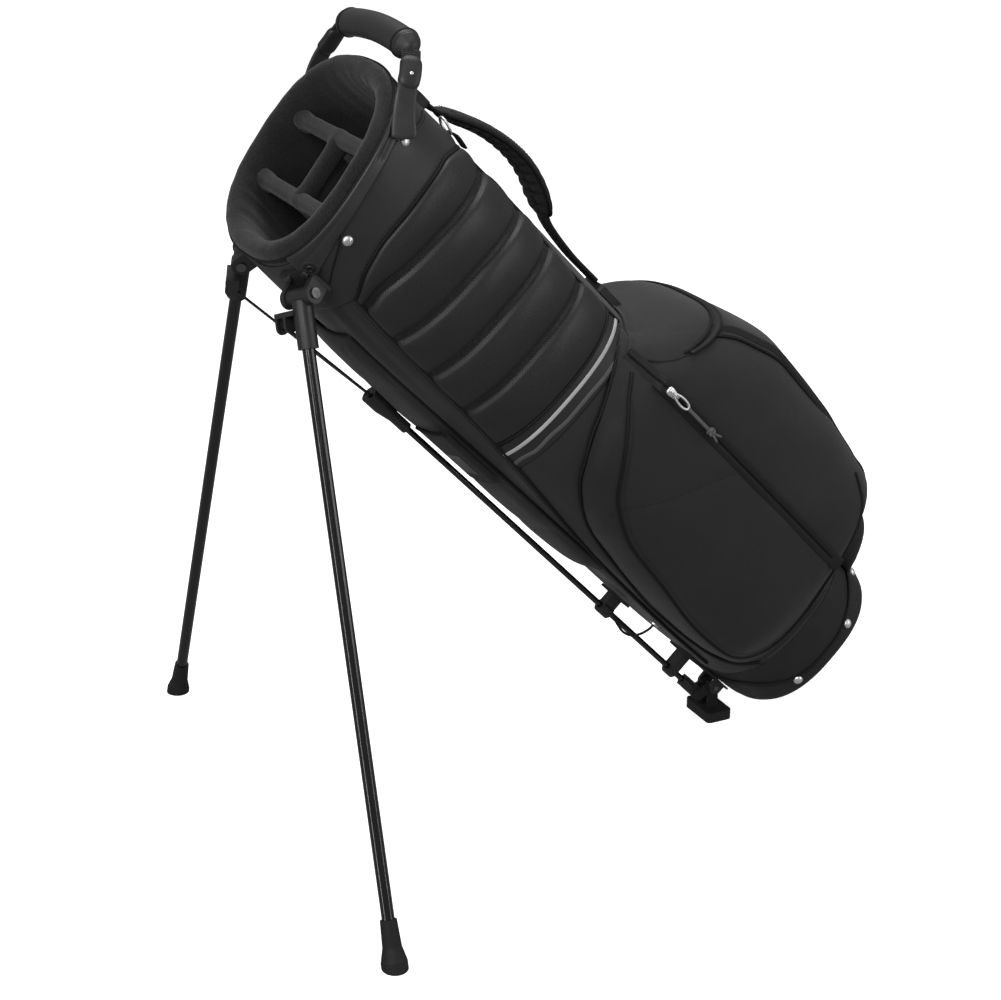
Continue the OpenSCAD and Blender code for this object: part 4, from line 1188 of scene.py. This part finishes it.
def make_teeth(name, path, side):
    """Coil of a zip: small flat links side by side."""
    points = even_points(path, step=2.0)
    tangents = unit(np.gradient(points, axis=0))
    out = np.array([0, side, 0.0])
    across = np.cross(tangents, out)
    corners = [(-1.6, -0.6, -0.4), (1.6, -0.6, -0.4), (1.6, 0.6, -0.4), (-1.6, 0.6, -0.4),
               (-1.2, -0.45, 0.9), (1.2, -0.45, 0.9), (1.2, 0.45, 0.9), (-1.2, 0.45, 0.9)]
    blocks = [points + across * c[0] + tangents * c[1] + out * c[2] for c in corners]
    stacked = np.stack(blocks, 1).reshape(-1, 3)
    one = [(0, 3, 2, 1), (4, 5, 6, 7), (0, 1, 5, 4), (1, 2, 6, 5), (2, 3, 7, 6), (3, 0, 4, 7)]
    faces = [[v + 8 * k for v in f] for k in range(len(points)) for f in one]
    return make_piece(name, stacked, faces, smooth=False, look="zip_tape")


def ball_grid(rows=110, cols=70):
    u = np.linspace(BALL_LOW, BALL_HIGH, rows)[:, None]
    a = np.linspace(-SIDE_EDGE, SIDE_EDGE, cols)[None]
    held = np.maximum(u, BALL_FLOOR)
    points = pocket_skin(a, held + 0 * a, pocket_depth(a, u))
    points[..., 2] += np.minimum(0, u - BALL_FLOOR)
    return points


def make_ball_pocket():
    grid = ball_grid()
    u, y = grid[..., 2], grid[..., 1]
    soft = 1.5 * bell(u, 300, 90) * np.cos(y / 130 * math.pi / 2) - 4.5 * bell(u, 190, 80)
    grid = grid + grid_normals(grid) * soft[..., None]
    pins = edge_pins(grid)
    grid = settle("ball_pocket", grid, pins, pressure=3, cap=4.0)
    pocket = make_slab("ball_pocket_cover", grid, 1.5, look="ballistic_fabric")
    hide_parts("ball_pocket")
    for side_name, side in SIDES.items():
        column = -1 if side > 0 else 0
        edge = smoothed(grid[6:-3, column], 2)
        make_tube(f"ball_piping_{side_name}", edge + np.array([0.6, side * 0.8, 0]), 2.2, sides=10,
                  look="piping")
        inner = grid[22:-6, -7 if side > 0 else 6]
        make_tube(f"ball_zip_{side_name}", smoothed(inner, 2) + np.array([0.8, side * 0.4, 0]), 5.0, ry=1.7,
                         sides=14, ref=[0.7, side * 0.7, 0], square=2.6, look="zip_tape")


def make_top_pocket():
    """Small domed pocket on the slope between the ball pocket and the wall, with a curved zip."""
    share, v = np.linspace(-1, 1, 90)[None], np.linspace(0, 1, 50)[:, None]
    reach = np.cos(share * math.pi / 2) ** 0.45
    low_u = 462 - 54 * reach
    a = share * 60
    u = TOP_POCKET_U + (low_u - TOP_POCKET_U) * v
    base = pocket_skin(a + 0 * u, u, pocket_depth(a, u))
    lift = 6 * np.sin(math.pi * np.clip(v, 0, 1)) ** 0.6 * np.clip(1 - share ** 4, 0, 1)
    grid = base + np.array([0.737, 0, 0.675]) * (lift + 1.2)[..., None]
    grid = grid[:, ::-1] if grid_normals(grid)[25, 45, 0] < 0 else grid
    pins = edge_pins(grid)
    grid = settle("top_pocket", grid, pins, pressure=3, cap=3.0)
    pocket = make_slab("top_pocket_cover", grid, 1.5, look="ballistic_fabric")
    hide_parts("top_pocket")
    rim = smoothed(grid[-1, 4:-4], 3) + np.array([1.5, 0, 1.0])
    curved = make_tube("top_pocket_zip_welt", rim, 4.4, ry=1.6, sides=12, ref=[0.7, 0, 0.7], square=2.6,
                       look="zip_tape")
    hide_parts("top_pocket_zip")
    make_tube("top_pocket_piping", smoothed(grid[-5, 4:-4], 3) + np.array([0.6, 0, 0.8]), 1.6, sides=8,
              look="piping")


for side_name in SIDES:
    make_side_pocket(side_name)
make_ball_pocket()
make_top_pocket()

# ---- Base -----------------------------------------------------------------------------------

BOOT_SEAM = [[0, 62], [25, 56], [45, 44], [60, 34], [80, 22], [100, 21], [115, 26], [135, 42], [150, 54],
             [180, 58]]
NOTCH_X, NOTCH_HALF, NOTCH_TOP = -89, 31, 17


def boot_seam(a):
    return eased(from_strap_side(a), BOOT_SEAM, 6)


def make_boot():
    """Moulded base, notched on the leg side where the foot block turns under it."""
    profile = np.array([[-60, 0.2], [-22, 0], [-13, 0], [-9.5, 0.6], [-6, 2.2], [-3.4, 5], [-1.2, 9.5],
                        [0, 16]])
    a = np.linspace(0, 360, 220, endpoint=False)[None]
    rise_u = np.linspace(19, 73, 28)
    d = np.concatenate([profile[:, 0], np.zeros(28)])[:, None] + 0 * a
    u = np.concatenate([profile[:, 1], rise_u])[:, None] + 0 * a
    d = d + 1.5 * rise((boot_seam(a) - u) / 2.5) * (u > 2) * rise(u / 12)
    grid = at_wall(a, u, d)
    notch = (grid[..., 0] < NOTCH_X) & (np.abs(grid[..., 1]) < NOTCH_HALF)
    grid[..., 2] = np.where(notch, np.maximum(grid[..., 2], NOTCH_TOP), grid[..., 2])
    boot = make_slab("base_cover", grid, 2.0, wrap=True, look="base_rubber")
    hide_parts("base_boot")
    turn = np.linspace(0, 360, 200, endpoint=False)
    make_tube("base_piping", at_wall(turn, boot_seam(turn) + 1, 1.1), 1.5, sides=8, closed=True,
              look="piping")
    make_stitches("base_stitches", at_wall(turn, boot_seam(turn) - 4, 1.6))


make_boot()

# ---- Hip pad and sleeve ---------------------------------------------------------------------


PAD_A = 154, 206
PAD_U = 302, 718


def make_hip_pad():
    share, v = crowded(50)[None], crowded(110)[:, None]
    first, last = PAD_A
    low, high = PAD_U
    a, u = first + (last - first) * share, low + (high - low) * v
    edge = both_ends(share, 0.16) * both_ends(v, 0.05)
    channels = 0.75 + 0.25 * np.abs(np.sin((u - low) / (high - low) * math.pi * 5)) ** 0.5
    grid = at_wall(a, u, 1.5 + 8.5 * edge * channels)
    pins = np.where(edge * np.ones_like(u) < 0.5, 1.0, 0.0)
    grid = settle("hip_pad", grid, pins, pressure=4, cap=3.0)
    pad = make_slab("hip_pad_cover", grid, 1.2, look="ballistic_fabric")
    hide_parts("hip_pad")
    border = np.concatenate([
        at_wall(np.linspace(first, last, 30), low, 2.2), at_wall(last, np.linspace(low + 4, high - 4, 80),
                                                                 2.2),
        at_wall(np.linspace(last, first, 30), high, 2.2), at_wall(first, np.linspace(high - 4, low + 4, 80),
                                                                  2.2)])
    make_tube("hip_pad_piping", smoothed(border, 4), 1.7, sides=8, closed=True, look="piping")


def make_sleeve():
    share, v = crowded(40)[None], crowded(40)[:, None]
    a, u = 184 + 23 * share, 478 + 90 * v
    edge = both_ends(share, 0.1) * rise(v / 0.08)
    sleeve = make_slab("valuables_sleeve_cover", at_wall(a, u, 10 + 5 * edge), 1.6, look="webbing")
    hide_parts("valuables_sleeve")
    line = at_wall(np.linspace(184.5, 206.5, 30), 568.0, 13.5)
    make_tube("sleeve_hem", line, 2.0, sides=10, look="piping")
    a, u = 190 + 11 * share, 499 + 32 * v
    edge = both_ends(share, 0.06) * both_ends(v, 0.06)
    label = make_slab("blank_label", at_wall(a, u, 15.2 + 0.9 * edge), 0.8, look="dark_band")
    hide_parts("sleeve_label")


make_hip_pad()
make_sleeve()

# ---- Handle ---------------------------------------------------------------------------------

CORE_ROUTE = [[126, -92, 874], [130, -78, 877], [134, -45, 880], [136, 0, 881], [134, 45, 880],
              [130, 78, 877],
              [126, 92, 874]]
GRIP_HALF = 76


def make_handle():
    """Padded grip with its end rings, and the two posts that carry it."""
    core = even_points(CORE_ROUTE, count=120)
    path = core[np.abs(core[:, 1]) < GRIP_HALF]
    t = np.abs(path[:, 1]) / GRIP_HALF
    radius = 14.2 - 1.0 * bell(t, 0.93, 0.02) - 3.4 * np.clip((t - 0.95) / 0.05, 0, 1) ** 2
    grip = make_tube("grip_cover", path, radius, ry=radius * 0.93, sides=40, ref=[0, 0, 1],
                     look="plain_leatherette")
    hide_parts("handle_grip")
    seam = path[3:-3] - np.array([0, 0, 13.1])
    make_stitches("grip_seam_stitches", seam, pitch=4.2)
    for side_name, side in SIDES.items():
        index = int(np.argmin(np.abs(path[:, 1] - side * 66)))
        angle = full_turn(60)
        ring = path[index] + 14.3 * np.stack([np.cos(angle), 0.12 * np.cos(angle) * side,
                                              np.sin(angle) * 0.94], -1)
        make_tube(f"grip_ring_{side_name}", ring, 0.9, sides=8, closed=True, look="piping")
        make_post(side_name)


def make_post(side_name):
    """Webbing from the grip's end down to the collar band, with a moulded sleeve round it."""
    side = SIDES[side_name]
    route = np.array([[128, 84, 876], [121, 90, 873], [110, 98, 868], [98, 104, 864], [86, 109, 858],
                      [74, 113, 850],
                      [62, 117, 840]], float) * np.array([1, side, 1])
    path = even_points(route, step=2)
    upper = len(path) * 2 // 5
    make_tube(f"handle_webbing_{side_name}", path[:upper], 9.0, ry=2.4, sides=20, ref=[0, side, 0.35],
              square=3.5,
              look="webbing")
    lower = path[upper - 4:]
    flare = np.linspace(0, 1, len(lower))
    make_tube(f"handle_post_arm_{side_name}", lower, 9.0 + 3.0 * flare, ry=2.6, sides=24,
              ref=[0, side, 0.35],
              square=3.5, look="band_plastic")
    middle = path[len(path) // 8: len(path) * 9 // 20]
    ends = 1 - 0.14 * np.linspace(-1, 1, len(middle)) ** 8
    make_tube(f"handle_sleeve_{side_name}", middle, 10.6 * ends, ry=5.4 * ends, sides=24,
              ref=[0, side, 0.35],
              square=2.6, look="moulded_plastic")
    spot = middle[len(middle) // 2] + np.array([0, side * 5.6, 1.6])
    make_lathe(f"handle_rivet_{side_name}", [(1.8, -1.6), (1.8, 0.2), (1.4, 0.6), (0.1, 0.8)], spot,
               [0, side, 0.35], look="silver_metal")


make_handle()

# ---- Shoulder strap -------------------------------------------------------------------------

STRAP_ROUTE = [[117, 0, 796], [120, 0, 780], [131, 0, 756], [141, 0, 730], [147, 0, 702], [148, 0, 674],
               [143, 0, 648],
               [132, 0, 622], [123, 0, 602], [118, 0, 560], [118, 0, 518]]
RING_Y = 26


def make_strap():
    """Padded strap in a loop, with bound edges and two rings with tabs at its top."""
    path = even_points(STRAP_ROUTE, step=2)
    u = path[:, 2]
    pad = rise((u - 612) / 24) * rise((776 - u) / 24)
    gather = 0.9 * np.sin(np.linspace(0, len(path) * 2 / 13 * 2 * math.pi, len(path))) * pad
    strap = make_tube("strap_pad", path - np.array([0.6, 0, 0]) * gather[:, None],
                      2.6 + 4.2 * pad + 0.5 * gather,
                      ry=13 + 12 * pad, sides=36, ref=[0, 1, 0], square=3.2, look="webbing")
    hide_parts("shoulder_strap")
    for side_name, side in SIDES.items():
        keep = pad > 0.4
        edge = path[keep] + np.array([0, side, 0]) * (13 + 11.4 * pad[keep])[:, None]
        make_tube(f"strap_binding_{side_name}", edge, 2.6, ry=1.9, sides=10, ref=[0, 1, 0], look="piping")
        make_stitches(f"strap_stitches_{side_name}", edge - np.array([0, side * 5.0, 0]) + np.array([5.6, 0,
                                                                                                     0.8]))
    ring_at = np.array([112.5, 0, 772])
    angle = full_turn(40)
    for side_name, side in SIDES.items():
        ring = ring_at + np.array([0, side * RING_Y, 0]) + 9 * np.stack(
            [0.35 * np.sin(angle), np.cos(angle), np.sin(angle)], -1)
        make_tube(f"strap_ring_{side_name}", ring, 1.5, sides=10, closed=True, look="silver_metal")
        tab = even_points([[111.5, side * RING_Y, 764], [113.5, side * RING_Y, 756],
                           [111.5, side * RING_Y, 742]], step=2)
        make_tube(f"strap_ring_tab_{side_name}", tab, 7.5, ry=1.4, sides=14, ref=[1, 0, 0], square=3.5,
                  look="webbing")


make_strap()

# ---- Small hardware -------------------------------------------------------------------------


def make_rivets():
    places = [(61, 832, 2.6), (108, 812, 2.6), (112, 22, 2.2), (72, 22, 2.2), (30, 34, 2.2)]
    dome = [(5.2, -1.6), (5.4, -0.2), (5.2, 0.7), (4.2, 1.7), (2.8, 2.5), (1.3, 2.95), (0.1, 3.05)]
    for side_name, side in SIDES.items():
        for number, (a, u, d) in enumerate(places):
            spot = at_wall(side * a, float(u), d)
            outward = at_wall(side * a, float(u), d + 1.0) - spot
            rivet = make_lathe(f"rivet_{side_name}_{number}", dome, spot, outward, look="silver_metal")
            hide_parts("dome_rivets")


def make_slider(side_name):
    """Zip slider with its bridge, wire pull and the knot at the pull cord's end."""
    side = SIDES[side_name]
    centre = np.array([ZIP_X, side * (SIDE_OUT + 2.4), SLIDER_U])
    body = np.stack([centre + np.array([0, 0, s]) for s in (6.5, 3, 0, -4, -7)])
    slider = make_tube(f"slider_body_{side_name}", body, [4.4, 4.8, 4.2, 3.6, 3.2], ry=2.2, sides=20,
                       ref=[0, side, 0],
                       square=3, body=f"slider_{side_name}", look="silver_metal")
    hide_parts(f"zip_slider_{side_name}")
    bridge = even_points([centre + np.array([0, side * y, s]) for y, s in
                          ((1.5, 5.5), (4.6, 4.2), (5.6, 0), (4.6, -3.6), (1.5, -5.5))], step=0.8)
    make_tube(f"slider_bridge_{side_name}", bridge, 1.9, ry=0.9, sides=12, ref=[1, 0, 0],
              body=f"slider_{side_name}",
              look="silver_metal")
    angle = full_turn(56)
    wide = 3.0 + 1.6 * (1 - np.sin(angle)) / 2
    loop = np.stack([ZIP_X + wide * np.cos(angle), np.full(56, side * PULL_Y),
                     SLIDER_U - 11 + 12.2 * np.sin(angle)], -1)
    pull = make_tube(f"pull_loop_{side_name}", loop, 1.25, sides=12, closed=True, body=f"pull_{side_name}",
                     look="silver_metal")
    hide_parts(f"zip_pull_{side_name}")
    knot_at = np.array([ZIP_X, side * PULL_Y, SLIDER_U - 64])
    t = full_turn(90)
    knot = knot_at + np.stack([(2.4 + 1.3 * np.cos(3 * t)) * np.cos(2 * t), 1.6 * np.sin(3 * t),
                               (2.4 + 1.3 * np.cos(3 * t)) * np.sin(2 * t)], -1)
    make_tube(f"pull_knot_{side_name}", knot, 1.45, sides=10, closed=True, body=f"pull_{side_name}",
              look="cord_grey")
    for name, shift in (("a", 2.2), ("b", -1.6)):
        tail = even_points([knot_at + np.array([shift * 0.4, 0, -3]),
                            knot_at + np.array([shift, side * 0.6, -8]),
                            knot_at + np.array([shift * 1.7, 0, -13])], step=1)
        make_tube(f"pull_tail_{name}_{side_name}", tail, 1.35, sides=10, body=f"pull_{side_name}",
                  look="cord_grey")


make_rivets()
for side_name in SIDES:
    make_slider(side_name)
